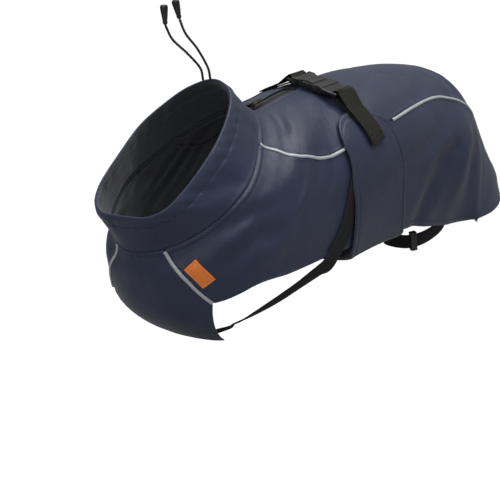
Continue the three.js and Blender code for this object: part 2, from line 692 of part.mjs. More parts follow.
// Belt buckle on the back. Its two halves lie on the plane that touches the back under them.
const BUCKLE_CENTRE_X = 22;
const BUCKLE_BASE = 1.4;
const buckleQ = positionAtX(5.3, BUCKLE_CENTRE_X);
const bucklePlace = place(sectionAtY(buckleQ, 0), buckleQ);
const buckleRear = place(sectionAtY(buckleQ, 10), buckleQ).point.sub(bucklePlace.point);
const buckleAcross = new THREE.Vector3().crossVectors(buckleRear, bucklePlace.up);
const buckleFrame = frameAt(bucklePlace.point, buckleAcross, bucklePlace.up);
const BAR_X = 26.5; // bars that hold the webbing, from the buckle's middle
const BAR_Z = 5.2; // height of the bars above the touching plane
const female = block(-24, -12, -17, 17, BUCKLE_BASE, 9.4)
  .add(block(-12.5, -0.2, -12.2, 12.2, BUCKLE_BASE, 9.4))
  .add(block(-29, -23, -17, -13.1, 3.6, 6.8))
  .add(block(-29, -23, 13.1, 17, 3.6, 6.8))
  .add(block(-BAR_X - 1.5, -BAR_X + 1.5, -13.5, 13.5, 3.9, 6.5))
  .subtract(block(-26, -21.5, -13.1, 13.1, 0, 12));
addSolid("buckle_female", female, buckleFrame, plastic);
const male = block(0.2, 12, -17, 17, BUCKLE_BASE, 9)
  .add(block(-11.4, 1, -17, -12.8, 2.4, 8.4))
  .add(block(-11.4, 1, 12.8, 17, 2.4, 8.4))
  .add(block(11.5, 22, -16.5, 16.5, 2.6, 7.8))
  .add(block(21, 29, -16.5, -13.1, 3.6, 6.8))
  .add(block(21, 29, 13.1, 16.5, 3.6, 6.8))
  .add(block(BAR_X - 1.5, BAR_X + 1.5, -13.5, 13.5, 3.9, 6.5));
addSolid("buckle_male", male, buckleFrame, plastic);

// Belt webbing: from its seam on the band up to the buckle, round the bar and back on top of itself.
const inBuckle = (x, z) => new THREE.Vector3(x, 0, z).applyMatrix4(buckleFrame);
const buckleUp = (x, z) => {
  const way = new THREE.Vector3(x, 0, z).transformDirection(buckleFrame);
  return way;
};
const WEBBING_Y = [
  { q: 0.1, y: 0 },
  { q: 0.24, y: 0 },
  { q: 0.37, y: 6 },
];
function webbingPlace(q, lift) {
  const y = lookup(WEBBING_Y, "q", "y", q);
  return place(sectionAtY(q, y), q, lift);
}
// The middle of the webbing is at this height over the cloth in its lower and upper layer.
const LOWER_LAYER = BAND_HIGH + LAYER_GAP + WEBBING_THICK / 2;
const UPPER_LAYER = LOWER_LAYER + LAYER_GAP + WEBBING_THICK;
const LOOP_RADIUS = 2.4 + WEBBING_THICK / 2;
const WEBBING_LOWER = {
  left: [0.275, 0.255, 0.235, 0.222].map((q) => ({ q, lift: LOWER_LAYER })),
  right: [
    { q: 0.275, lift: LOWER_LAYER },
    { q: 0.25, lift: LOWER_LAYER },
    { q: 0.225, lift: LOWER_LAYER },
    { q: 0.19, lift: 2.6 },
    { q: 0.16, lift: 1.6 },
    { q: 0.13, lift: 1.6 },
    { q: 0.09, lift: 1.6 },
    { q: 0.055, lift: 1.9 },
  ],
};
function webbingPath(side, upperFrom, upperTo) {
  const mirror = (v) => new THREE.Vector3(side * v.x, v.y, v.z);
  const lower = [];
  for (const { q, lift } of WEBBING_LOWER[side > 0 ? "left" : "right"]) {
    const g = webbingPlace(q, lift);
    lower.push({ point: mirror(g.point), up: mirror(g.up).multiplyScalar(-1) });
  }
  const loop = [];
  for (let k = 0; k <= 6; k++) {
    const angle = -Math.PI / 2 - (Math.PI * k) / 6;
    const x = Math.cos(angle);
    const z = Math.sin(angle);
    const point = inBuckle(side * (BAR_X + LOOP_RADIUS * x), BAR_Z + LOOP_RADIUS * z);
    loop.push({ point, up: buckleUp(side * x, z) });
  }
  const upper = [{ point: inBuckle(side * (BAR_X + 3.5), BAR_Z + LOOP_RADIUS - 0.2), up: buckleUp(0, 1) }];
  for (let k = 0; k <= 6; k++) {
    const q = between(upperFrom, upperTo, k / 6);
    const rise = side > 0 ? UPPER_LAYER : 1.6 + LAYER_GAP + WEBBING_THICK;
    const g = webbingPlace(q, rise + 1.2 * Math.max(0, 1 - k / 2));
    upper.push({ point: mirror(g.point), up: mirror(g.up) });
  }
  return [...lower, ...loop, ...upper];
}
const webbingOutline = flat(WEBBING_HALF, -WEBBING_THICK / 2, WEBBING_THICK / 2);
addStrip("webbing_left", stationsOf(webbingPath(1, 0.218, 0.36)), webbingOutline, webbing);
addStrip("webbing_right", stationsOf(webbingPath(-1, 0.055, 0.14)), webbingOutline, webbing);

// Elastic chest straps: from under the band's front edge over the side panel, then free under the
// chest to the inner face of the flap.
const CHEST_STRAP_ON_COAT = [
  { q: 0.42, y: -34 },
  { q: 0.47, y: -45 },
  { q: 0.52, y: -59 },
  { q: 0.56, y: -76 },
  { q: 0.585, y: -88 },
];
const CHEST_STRAP_FREE = [
  { x: 84.5, y: -96, z: -158, upX: 0.8, upY: -0.2, upZ: -0.6 },
  { x: 69, y: -106, z: -172, upX: 0.6, upY: -0.2, upZ: -0.8 },
  { x: 52, y: -121, z: -187, upX: 0.5, upY: -0.25, upZ: -0.85 },
  { x: 36, y: -142, z: -200, upX: 0.3, upY: -0.3, upZ: -0.9 },
  { x: 25, y: -164, z: -208, upX: 0.15, upY: -0.35, upZ: -0.93 },
];
const strapOnCoat = CHEST_STRAP_ON_COAT.map((r) => place(sectionAtY(r.q, r.y), r.q, STRAP_MIDDLE));
const INSIDE = -(CLOTH_WALL + LAYER_GAP + ELASTIC_THICK / 2);
const strapOnFlap = [place(3.7, 0.955, INSIDE - 1.1), place(3.5, 0.955, INSIDE - 1.1)];
const chestStrap = [...strapOnCoat, ...freePath(CHEST_STRAP_FREE, 9), ...strapOnFlap];
const chestStrapOutline = flat(CHEST_STRAP_HALF, -ELASTIC_THICK / 2, ELASTIC_THICK / 2);
addStrip("chest_strap_left", stationsOf(chestStrap), chestStrapOutline, elastic);
addStrip("chest_strap_right", stationsOf(chestStrap), chestStrapOutline, elastic, -1);

// Elastic hind leg loops: from inside the side hem round the front of the leg to the tail hem.
const LEG_STRAP = [
  { x: 80, y: 168, z: -147, upX: 1, upY: 0, upZ: 0 },
  { x: 80, y: 160, z: -157, upX: 1, upY: 0, upZ: -0.1 },
  { x: 77.5, y: 142, z: -164, upX: 0.93, upY: -0.3, upZ: -0.15 },
  { x: 73, y: 124, z: -168, upX: 0.85, upY: -0.5, upZ: -0.12 },
  { x: 64, y: 112, z: -170, upX: 0.5, upY: -0.85, upZ: -0.1 },
  { x: 50, y: 107, z: -169, upX: 0, upY: -1, upZ: -0.05 },
  { x: 36, y: 114, z: -168, upX: -0.6, upY: -0.8, upZ: 0 },
  { x: 27, y: 140, z: -166, upX: -0.93, upY: -0.35, upZ: 0 },
  { x: 23, y: 190, z: -163, upX: -1, upY: -0.08, upZ: 0 },
  { x: 23, y: 265, z: -158, upX: -1, upY: 0, upZ: 0 },
  { x: 25, y: 325, z: -157, upX: -0.9, upY: 0.3, upZ: -0.2 },
  { x: 28, y: 352, z: -157, upX: -0.3, upY: 0.7, upZ: -0.6 },
];
const strapOnTail = [13.95, 13.75, 13.5].map((u) => place(u, 0.12, INSIDE - 0.9));
const legStrap = [...freePath(LEG_STRAP, 22), ...strapOnTail];
const legStrapOutline = flat(LEG_STRAP_HALF, -ELASTIC_THICK / 2, ELASTIC_THICK / 2);
addStrip("leg_strap_left", stationsOf(legStrap), legStrapOutline, elastic);
addStrip("leg_strap_right", stationsOf(legStrap), legStrapOutline, elastic, -1);

// Plastic slider on each leg loop, a frame round the elastic.
const LEG_SLIDER_AT = 7;
const ring = block(-3.5, 3.5, -10.4, 10.4, -3, 3).subtract(block(-6, 6, -8.5, 8.5, -1.7, 1.7));
for (const [name, path] of [["leg_slider_left", legStrap], ["leg_slider_right", mirrorPath(legStrap)]]) {
  const station = stationsOf(path)[LEG_SLIDER_AT];
  const way = new THREE.Vector3().crossVectors(station.side, station.up);
  addSolid(name, ring, frameAt(station.point, way, station.up), plastic);
}

// Drawstring: two cords out of the neck edge at the nape, each with a plastic end.
const CORDS = [
  {
    name: "left",
    points: [
      { x: -3, y: -147.2, z: 20 },
      { x: -4, y: -150, z: 31 },
      { x: -8, y: -160, z: 48 },
      { x: -12, y: -172, z: 62 },
      { x: -14, y: -178, z: 75 },
    ],
    tip: { x: -15, y: -183, z: 92 },
  },
  {
    name: "right",
    points: [
      { x: -10, y: -148.8, z: 18.7 },
      { x: -11, y: -152, z: 30 },
      { x: -15, y: -166, z: 44 },
      { x: -19, y: -182, z: 57 },
      { x: -20, y: -191, z: 70 },
    ],
    tip: { x: -20, y: -193, z: 88 },
  },
];
const CORD_END_OUTLINE = [
  { along: 0, radius: 1.7 },
  { along: 0.12, radius: 2.3 },
  { along: 0.5, radius: 2.9 },
  { along: 0.85, radius: 3.6 },
  { along: 1, radius: 3.1 },
];
const CORD_SIDES = 8;
function circle(radius, sides) {
  const shape = new THREE.Shape();
  for (let k = 0; k < sides; k++) {
    const angle = (2 * Math.PI * k) / sides;
    const x = radius * Math.cos(angle);
    const y = radius * Math.sin(angle);
    if (k === 0) shape.moveTo(x, y);
    else shape.lineTo(x, y);
  }
  shape.closePath();
  return shape;
}
for (const cord of CORDS) {
  const points = cord.points.map((p) => new THREE.Vector3(p.x, p.y, p.z));
  const route = new THREE.CatmullRomCurve3(points);
  const settings = { steps: 16, extrudePath: route, bevelEnabled: false };
  const tube = new THREE.Mesh(new THREE.ExtrudeGeometry(circle(CORD_RADIUS, CORD_SIDES), settings), cordMaterial);
  tube.name = `drawstring_${cord.name}`;
  coat.add(tube);
  const foot = points[points.length - 1];
  const head = new THREE.Vector3(cord.tip.x, cord.tip.y, cord.tip.z);
  const way = head.clone().sub(foot).normalize();
  const side = new THREE.Vector3().crossVectors(way, new THREE.Vector3(1, 0, 0)).normalize();
  const up = new THREE.Vector3().crossVectors(side, way);
  const start = foot.clone().addScaledVector(way, 2 * LAYER_GAP);
  const rings = [];
  const faces = [];
  const sides = 10;
  CORD_END_OUTLINE.forEach((row, i) => {
    const centre = start.clone().lerp(head, row.along);
    for (let k = 0; k < sides; k++) {
      const angle = (2 * Math.PI * k) / sides;
      const p = centre.clone().addScaledVector(side, row.radius * Math.cos(angle));
      rings.push(p.addScaledVector(up, row.radius * Math.sin(angle)));
      const next = (k + 1) % sides;
      if (i === 0) continue;
      const a = (i - 1) * sides;
      faces.push([a + k, a + next, i * sides + next], [a + k, i * sides + next, i * sides + k]);
    }
  });
  const top = (CORD_END_OUTLINE.length - 1) * sides;
  for (let k = 1; k < sides - 1; k++) faces.push([0, k + 1, k], [top, top + k, top + k + 1]);
  addBody(`cord_end_${cord.name}`, rings, faces, plastic);
}

export default coat;
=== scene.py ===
"""Dresses the frame of a dog raincoat: cloth panels, piping, zip, belt, straps and drawstring.

Distances in the tables are millimetres in the coat's own frame: +Z up, the collar towards -Y, the
coat's left side towards +X. Meshes are in metres.
"""
import math

import bpy
import numpy as np
from bpy.props import FloatProperty, FloatVectorProperty, PointerProperty
from bpy.types import Operator, Panel, PropertyGroup
from mathutils import Matrix, Vector


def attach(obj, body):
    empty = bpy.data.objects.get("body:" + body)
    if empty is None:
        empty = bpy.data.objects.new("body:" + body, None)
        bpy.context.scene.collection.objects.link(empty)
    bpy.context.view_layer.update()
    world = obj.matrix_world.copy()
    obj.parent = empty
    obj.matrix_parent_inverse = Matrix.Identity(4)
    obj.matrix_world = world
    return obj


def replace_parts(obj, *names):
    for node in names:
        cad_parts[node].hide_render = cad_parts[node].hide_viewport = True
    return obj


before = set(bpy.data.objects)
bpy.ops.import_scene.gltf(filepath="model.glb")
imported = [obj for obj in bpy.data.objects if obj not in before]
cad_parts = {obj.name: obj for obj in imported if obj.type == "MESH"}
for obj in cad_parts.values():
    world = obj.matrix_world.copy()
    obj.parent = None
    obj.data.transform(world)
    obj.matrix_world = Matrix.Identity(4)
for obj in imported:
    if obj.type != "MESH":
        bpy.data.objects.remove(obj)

bl_info = {
    "name": "Dog raincoat",
    "version": (1, 0, 0),
    "blender": (4, 5, 0),
    "location": "3D View > Sidebar > Raincoat",
    "description": "Cloth, sewing, zip, belt and straps of a dog raincoat",
    "category": "Object",
}

MM = 0.001
COAT = "coat"  # body that carries all but the pull tab
PULL_TAB = "pull_tab"
SEAM = 1.0  # section number of the collar seam
TAIL = 14.0  # section number of the tail hem
# The way out of the coat is taken over these reaches, in sections along it and in rings round it.
REACH_ALONG = 0.35
REACH_ROUND = 0.006

# A row for each section of the coat: its top point on the spine, its low point under the body, half
# its width, where between them it is widest, and how square its upper and lower parts are.
SECTION_COLUMNS = ("topY", "topZ", "lowY", "lowZ", "half", "widest", "upper", "lower")
SECTIONS = (
    ("collar_top", -146, 20, -282, -87, 48, 0.54, 2.0, 3.3),
    ("collar_seam", -100, -8, -262, -121, 66, 0.54, 1.5, 2.0),
    ("chest_high", -84, -13, -256, -150, 77, 0.55, 1.8, 2.2),
    ("chest_low", -64, -8, -231, -190, 86, 0.56, 2.1, 2.4),
    ("front_legs", -38, -3.5, -170, -219, 90, 0.54, 2.1, 2.6),
    ("sternum", -8, 1, -90, -222, 91, 0.48, 2.1, 2.6),
    ("belly_front", 28, 4, -10, -222, 91, 0.42, 2.1, 2.6),
    ("belly", 75, 8, 70, -222, 91, 0.4, 2.1, 2.6),
    ("loin", 130, 11, 130, -222, 89, 0.4, 2.1, 2.6),
    ("hip", 192, 10, 185, -221, 88, 0.42, 2.1, 2.6),
    ("croup", 245, 1, 210, -220, 88, 0.5, 2.1, 2.6),
    ("rump", 285, -23, 216, -213, 89, 0.8, 2.2, 2.4),
    ("tail_root", 321, -62, 218, -203, 90, 1.0, 2.3, 2.2),
    ("tail_low", 352, -106, 218, -188, 90, 1.0, 2.4, 2.2),
    ("tail_hem", 374, -148, 218, -172, 90, 1.0, 2.4, 2.2),
)
# Height of the lower hem along the coat: (y, z).
HEM = (
    (-226, -167), (-198, -155), (-150, -150), (-93, -145.5), (-30, -144), (20, -144), (80, -147),
    (130, -154), (170, -159), (220, -162), (270, -161), (320, -155), (380, -147),
)
# Side seam with its piping: (section, ring position), 0 on the spine and 1 under the belly.
SIDE_SEAM = (
    (1, 0.283), (1.62, 0.285), (2.4, 0.303), (3.3, 0.312), (4.6, 0.322), (5.6, 0.322), (6.5, 0.314),
    (7.5, 0.294), (8.58, 0.274), (9.3, 0.284), (9.9, 0.29), (11.08, 0.245), (12, 0.235), (14, 0.23),
)
CHEST_SEAM = ((1, 0.87), (1.6, 0.85), (2.2, 0.82), (2.75, 0.785))
FLAP_EDGE = ((2.75, 0.785), (3.1, 0.825), (3.5, 0.872), (3.9, 0.915))
FLAP_END = ((3.9, 0.915), (3.84, 0.957), (3.8, 1), (3.84, 1.043), (3.9, 1.085))
SKIRT_FRONT = CHEST_SEAM[-1]
SEAM_ROWS = 36  # even steps along the back that the edges of the side panels share
CHEST_ROWS = 6  # of which these lie beside the chest
HEM_CORNER = 0.36  # ring position where the hem turns into the tail hem
MM_PER_SECTION = 42  # of a fold's place
MM_PER_RING = 270
FRONT_SCALE = 25  # millimetres of one section next to the collar seam
COLLAR_DEEP = 47  # from the collar seam to the neck edge
TAIL_SCALE = 611  # millimetres along a side panel, taken at the tail hem

# Folds, each a line of (section, ring position) with its half width and height.
FOLDS = (
    ("skirt_trough", ((8.72, 0.47), (8.12, 0.52), (7.68, 0.562), (7.3, 0.622)), 8.5, -6.2),
    ("skirt_ridge", ((9.47, 0.433), (9.05, 0.515), (8.6, 0.6)), 11, 3.8),
    ("skirt_brow", ((8.4, 0.44), (7.8, 0.5), (7.2, 0.57)), 10, 2.0),
    ("skirt_soft", ((6.88, 0.482), (7.48, 0.455), (8.12, 0.435)), 11, -2.2),
    ("skirt_rear", ((9.9, 0.33), (9.85, 0.42), (9.5, 0.53)), 10, -1.8),
    ("tail_soft", ((11.2, 0.27), (11.3, 0.33), (11.1, 0.4)), 9, -1.2),
    ("hip_soft", ((8.9, 0.3), (8.5, 0.36), (8.05, 0.41)), 9, -1.6),
    ("hip_ridge", ((9.35, 0.32), (9.0, 0.39), (8.6, 0.45)), 9, 1.4),
    ("under_seam_front", ((2.83, 0.318), (3.08, 0.388), (3.1, 0.45)), 8, -2.0),
    ("under_seam_mid", ((3.58, 0.33), (3.6, 0.4), (3.4, 0.47)), 8, -2.2),
    ("under_seam_rear", ((4.2, 0.33), (4.15, 0.395), (3.9, 0.45)), 8, -2.0),
    ("seam_ridge", ((3.34, 0.34), (3.36, 0.41), (3.22, 0.46)), 7, 0.9),
    ("shoulder_high", ((1.33, 0.645), (1.78, 0.522), (2.6, 0.435)), 10, -2.4),
    ("shoulder_mid", ((2.2, 0.67), (2.35, 0.548), (3.4, 0.48)), 9, -3.0),
    ("shoulder_low", ((2.7, 0.573), (3.2, 0.502), (4.1, 0.49)), 10, 2.4),
    ("shoulder_rear", ((3.0, 0.64), (3.5, 0.56), (4.2, 0.52)), 8, -1.6),
    ("band_drag", ((3.55, 0.505), (4.25, 0.47), (4.8, 0.442)), 9, -1.8),
    ("collar_soft", ((0.38, 0.587), (0.55, 0.53), (0.75, 0.487)), 9, -1.6),
    ("collar_nape", ((0.3, 0.3), (0.6, 0.26), (0.95, 0.25)), 8, -1.2),
    ("rump_front", ((7.28, 0.165), (8.0, 0.125)), 10, -1.4),
    ("rump_soft", ((7.78, 0.268), (8.33, 0.208), (8.9, 0.152)), 11, -2.2),
    ("beside_zip", ((2.33, 0.112), (2.3, 0.175), (2.18, 0.235)), 9, -1.5),
    ("rump_line", ((7.8, 0.073), (6.95, 0.115), (6.25, 0.148), (5.85, 0.165)), 6, -1.3),
    ("rump_across", ((7.8, 0.073), (7.98, 0.115), (8.05, 0.167)), 6, -1.2),
    ("rump_down", ((7.95, 0.148), (7.75, 0.205), (7.7, 0.253), (7.78, 0.287)), 7, -1.5),
    ("rump_crest", ((9.1, 0.128), (9.2, 0.195), (9.2, 0.273)), 7, 1.1),
    ("beside_zip_ridge", ((2.75, 0.12), (2.72, 0.18), (2.6, 0.24)), 8, 1.2),
    ("croup_ridge", ((9.35, 0.06), (9.65, 0.15), (9.8, 0.27)), 5, 1.6),
    ("band_low", ((5.65, 0.532), (6.45, 0.542), (7.3, 0.535)), 9, -1.2),
    ("chest_soft", ((1.28, 0.998), (1.98, 0.998), (2.4, 0.988)), 12, -1.6),
)
# Slow unevenness of the cloth: (waves along per section, whole waves round the ring, phase, height).
UNEVEN = (
    (1.7, 3, 0.4, 0.34), (2.6, 5, 1.9, 0.3), (0.9, 7, 3.1, 0.26), (3.9, 4, 5.2, 0.2),
    (2.1, 9, 0.9, 0.2), (4.6, 11, 2.2, 0.13), (6.2, 6, 4.4, 0.11),
)
# Flat lengths of the chest and leg straps, in metres.
CHEST_STRAP_LENGTH = 0.246
LEG_STRAP_LENGTH = 0.362
# Distances from an edge at which a panel has a line of points.
SEAM_MARKS = (0, 0.35, 0.8, 1.5, 2.5, 3.5, 4.3, 5.0, 5.7, 7.0, 9.0)
HEM_MARKS = (0, 0.3, 0.8, 1.6, 3.0, 5.0, 6.6, 7.3, 8.0, 8.8, 10.0, 12.5)
SEAM_STITCH = 5.0  # topstitching beside a seam
HEM_STITCH = 7.3
CASING_STITCH = 13.5  # below the neck edge
HEM_LAYER = 0.6  # height of a turned hem over the cloth


class CoatSizes(PropertyGroup):
    """Driving sizes of the sewn pieces."""
    wall: FloatProperty(name="Cloth wall", description="Thickness of the cloth",
                        default=1.6 * MM, unit="LENGTH")
    stitch: FloatProperty(name="Stitch", description="Length of one stitch",
                          default=3.0 * MM, unit="LENGTH")
    stitch_gap: FloatProperty(name="Stitch gap", description="Gap between two stitches",
                              default=0.9 * MM, unit="LENGTH")
    thread: FloatProperty(name="Thread", description="Radius of the sewing thread",
                          default=0.28 * MM, unit="LENGTH")
    piping: FloatProperty(name="Piping", description="Visible width of the piping",
                          default=3.4 * MM, unit="LENGTH")
    webbing: FloatProperty(name="Belt webbing", description="Width of the belt webbing",
                           default=25 * MM, unit="LENGTH")
    webbing_rib: FloatProperty(name="Webbing rib", description="Pitch of the ribs across the webbing",
                               default=2.6 * MM, unit="LENGTH")
    chest_strap: FloatProperty(name="Chest strap", description="Width of the chest elastic",
                               default=20 * MM, unit="LENGTH")
    leg_strap: FloatProperty(name="Leg loop", description="Width of the hind leg elastic",
                             default=15 * MM, unit="LENGTH")
    cord: FloatProperty(name="Drawstring", description="Radius of the drawstring",
                        default=1.2 * MM, unit="LENGTH")
    tooth: FloatProperty(name="Zip pitch", description="Pitch of the zip's coil",
                         default=1.9 * MM, unit="LENGTH")


class CoatColours(PropertyGroup):
    """Colours of the cloth and fittings."""
    shell: FloatVectorProperty(name="Shell", description="Navy face of the cloth", subtype="COLOR",
                               default=(0.0175, 0.0245, 0.051))
    reverse: FloatVectorProperty(name="Reverse", description="Inner face of the cloth", subtype="COLOR",
                                 default=(0.01, 0.0135, 0.026))
    piping: FloatVectorProperty(name="Piping", description="Reflective piping", subtype="COLOR",
                                default=(0.34, 0.365, 0.385))
    webbing: FloatVectorProperty(name="Webbing", description="Belt webbing", subtype="COLOR",
                                 default=(0.0035, 0.0034, 0.003))
    # Olive tone that the belt webbing lays on its rib crests, leaving the valleys near black: partly the
    # yarn's own colour, partly painted shade of the ribs.
    olive: FloatVectorProperty(name="Webbing yarn", description="Lighter yarn in the webbing",
                               subtype="COLOR", default=(0.024, 0.0215, 0.0095))
    elastic: FloatVectorProperty(name="Elastic", description="Leg and chest elastic", subtype="COLOR",
                                 default=(0.005, 0.005, 0.006))
    plastic: FloatVectorProperty(name="Plastic", description="Buckle and sliders", subtype="COLOR",
                                 default=(0.007, 0.007, 0.008))
    tape: FloatVectorProperty(name="Zip tape", description="Knitted zip tape", subtype="COLOR",
                              default=(0.035, 0.036, 0.04))
    leather: FloatVectorProperty(name="Label", description="Leather of the label", subtype="COLOR",
                                 default=(0.62, 0.16, 0.022))


class StudioLook(PropertyGroup):
    """Light and floor of the studio."""
    key: FloatProperty(name="Key light", description="Power of the overhead light", default=34)
    fill: FloatProperty(name="Fill light", description="Power of the light beside the camera", default=13)
    ambient: FloatProperty(name="Ambient", description="Strength of the surrounding light", default=0.33)
    floor_z: FloatProperty(name="Floor", description="Height of the floor", default=-0.333, unit="LENGTH")


def smooth_value(values, at):
    """Smooth curve through equally spaced values."""
    v = np.asarray(values, float)
    last = len(v) - 1
    at = np.clip(np.asarray(at, float), 0, last)
    i = np.minimum(np.floor(at).astype(int), last - 1)
    t = at - i
    b = v[i]
    c = v[i + 1]
    a = np.where(i > 0, v[np.maximum(i - 1, 0)], 2 * b - c)
    d = np.where(i < last - 1, v[np.minimum(i + 2, last)], 2 * c - b)
    return 0.5 * (2 * b + (c - a) * t + (2 * a - 5 * b + 4 * c - d) * t**2 + (3 * b - a - 3 * c + d) * t**3)


def smooth_lookup(rows, x):
    """Smooth value of a table with unequal steps, level beyond its ends."""
    xs = np.array([r[0] for r in rows], float)
    ys = np.array([r[1] for r in rows], float)
    x = np.clip(np.asarray(x, float), xs[0], xs[-1])
    slope = np.gradient(ys, xs)
    i = np.clip(np.searchsorted(xs, x, side="right") - 1, 0, len(xs) - 2)
    h = xs[i + 1] - xs[i]
    t = (x - xs[i]) / h
    start = (2 * t**3 - 3 * t**2 + 1) * ys[i] + (t**3 - 2 * t**2 + t) * h * slope[i]
    return start + (3 * t**2 - 2 * t**3) * ys[i + 1] + (t**3 - t**2) * h * slope[i + 1]


def body_point(u, q):
    """Point of the unfolded coat at section u and ring position q."""
    u, q = np.broadcast_arrays(np.asarray(u, float), np.asarray(q, float))
    s = {c: smooth_value([row[k + 1] for row in SECTIONS], u) for k, c in enumerate(SECTION_COLUMNS)}
    sine = np.sin(np.pi * q)
    cosine = np.cos(np.pi * q)
    power = np.where(cosine >= 0, s["upper"], s["lower"])
    across = s["half"] * np.sign(sine) * np.abs(sine) ** (2 / power)
    rest = np.abs(cosine) ** (2 / power)
    down = np.where(cosine >= 0, s["widest"] * (1 - rest), s["widest"] + (1 - s["widest"]) * rest)
    y = s["topY"] + down * (s["lowY"] - s["topY"])
    z = s["topZ"] + down * (s["lowZ"] - s["topZ"])
    return np.stack([across, y, z], axis=-1)


def unit(v):
    """Vectors of the same direction, one long."""
    return v / np.maximum(np.linalg.norm(v, axis=-1, keepdims=True), 1e-12)


def body_normal(u, q):
    """Way out of the unfolded coat at each place."""
    du = body_point(np.minimum(u + REACH_ALONG, TAIL), q) - body_point(np.maximum(u - REACH_ALONG, 0), q)
    dq = body_point(u, q + REACH_ROUND) - body_point(u, q - REACH_ROUND)
    return unit(np.cross(dq, du))


def fold_height(u, q):
    """Height of the folds and the slow unevenness at each place."""
    signed = np.where(q > 1, q - 2, q)
    right = signed < 0
    px = (u - 0.1 * right) * MM_PER_SECTION
    py = np.abs(signed) * MM_PER_RING
    height = np.zeros(np.broadcast(u, q).shape)
    for _, line, width, fold in FOLDS:
        nearest = np.full(height.shape, 1e9)
        share = np.zeros(height.shape)
        pieces = len(line) - 1
        for k in range(pieces):
            ax, ay = line[k][0] * MM_PER_SECTION, line[k][1] * MM_PER_RING
            bx, by = line[k + 1][0] * MM_PER_SECTION - ax, line[k + 1][1] * MM_PER_RING - ay
            t = np.clip(((px - ax) * bx + (py - ay) * by) / (bx * bx + by * by), 0, 1)
            far = np.hypot(px - ax - t * bx, py - ay - t * by)
            share = np.where(far < nearest, (k + t) / pieces, share)
            nearest = np.minimum(far, nearest)
        taper = 0.55 + 0.45 * np.sin(np.pi * share)
        height += fold * taper * np.where(right, 0.85, 1.0) * np.exp(-((nearest / width) ** 2))
    for along, around, phase, swell in UNEVEN:
        height += swell * np.sin(along * u + np.pi * around * q + phase)
    return height


def place(u, q, lift=0.0):
    """Points on the folded coat and the way out at each."""
    up = body_normal(u, q)
    return body_point(u, q) + up * (fold_height(u, q) + lift)[..., None], up


def solve(low, high, test):
    """Where test turns from true to false between low and high."""
    for _ in range(36):
        mid = (low + high) / 2
        yes = test(mid)
        low = np.where(yes, mid, low)
        high = np.where(yes, high, mid)
    return (low + high) / 2


def section_at_y(q, y):
    """Section at which the ring position q lies at y."""
    q, y = np.broadcast_arrays(np.asarray(q, float), np.asarray(y, float))
    return solve(np.zeros(q.shape), np.full(q.shape, TAIL), lambda m: body_point(m, q)[..., 1] < y)


def above_hem(u, q):
    """True where the place is above the lower hem."""
    p = body_point(u, q)
    return p[..., 2] > smooth_lookup(HEM, p[..., 1])


def hem_position(u):
    """Ring position of the lower hem in each section."""
    u = np.asarray(u, float)
    return solve(np.full(u.shape, 0.02), np.full(u.shape, 0.95), lambda m: above_hem(u, m))


def hem_section(q):
    """Section of the hem at each ring position of the tail."""
    q = np.asarray(q, float)
    return solve(np.full(q.shape, 11.0), np.full(q.shape, TAIL), lambda m: above_hem(m, q))


def side_seam(u):
    """Ring position of the side seam in each section."""
    return smooth_lookup(SIDE_SEAM, u)


def along_rows(rows, t):
    """Place at the share t along a table of places."""
    at = np.asarray(t) * (len(rows) - 1)
    return smooth_value([r[0] for r in rows], at), smooth_value([r[1] for r in rows], at)


def lengths(points, axis):
    """Length walked along one axis of a grid of points, from its start."""
    step = np.linalg.norm(np.diff(points, axis=axis), axis=-1)
    walked = np.cumsum(step, axis=axis)
    pad = [(0, 0)] * walked.ndim
    pad[axis] = (1, 0)
    return np.pad(walked, pad)


def patch(top, bottom, left, right, s, t):
    """Places between four edges. Each edge is a function that gives (section, ring position)."""
    s = s[:, None]
    t = t[None, :]
    ends = {}
    for k in (0, 1):
        a, b = top(s)[k], bottom(s)[k]
        c, d = left(t)[k], right(t)[k]
        a0, b0 = top(np.zeros((1, 1)))[k], bottom(np.zeros((1, 1)))[k]
        a1, b1 = top(np.ones((1, 1)))[k], bottom(np.ones((1, 1)))[k]
        mixed = (1 - t) * a + t * b + (1 - s) * c + s * d
        ends[k] = mixed - (1 - s) * ((1 - t) * a0 + t * b0) - s * ((1 - t) * a1 + t * b1)
    return ends[0], ends[1]


def spread(u, q, near, far, middle):
    """Puts each row's places at set distances from its two ends and evenly between them."""
    walked = lengths(body_point(u, q), 1)
    columns = []
    for r in range(u.shape[0]):
        full = walked[r, -1]
        shrink = min(1.0, 0.45 * full / max(near[-1], far[-1]))
        first = np.array(near) * shrink
        last = full - np.array(far)[::-1] * shrink
        between = np.linspace(first[-1], last[0], middle + 2)[1:-1]
        at = np.concatenate([first, between, last])
        columns.append((np.interp(at, walked[r], u[r]), np.interp(at, walked[r], q[r]), at, full - at))
    return [np.array([c[k] for c in columns]) for k in range(4)]


def seam_profile(d):
    """Cloth that rolls into a seam and swells over its allowance, with topstitching beside it."""
    roll = -0.85 * np.exp(-((d / 1.1) ** 2)) + 0.45 * np.exp(-(((d - 3.0) / 2.0) ** 2))
    return roll - 0.4 * np.exp(-(((d - SEAM_STITCH) / 0.75) ** 2))


def plain_seam_profile(d):
    """Height across a seam without topstitching, at the distance d from it."""
    return -0.85 * np.exp(-((d / 1.1) ** 2)) + 0.5 * np.exp(-(((d - 3.2) / 2.6) ** 2))


def hem_profile(d, stitch=HEM_STITCH):
    """Turned hem: a second layer up to its stitching."""
    layer = HEM_LAYER / (1 + np.exp((d - stitch - 1.2) / 0.35))
    return layer - 0.5 * np.exp(-(((d - stitch) / 0.75) ** 2))


def puckers(walked, d, stitch):
    """Small ripples that a row of stitching pulls into the cloth."""
    wave = np.sin(2 * np.pi * walked / 7.5 + 2.2 * np.sin(walked / 19.0))
    slow = 0.6 + 0.4 * np.sin(walked / 31.0 + 1.0)
    return 0.24 * wave * slow * np.exp(-(((d - stitch) / 3.6) ** 2))


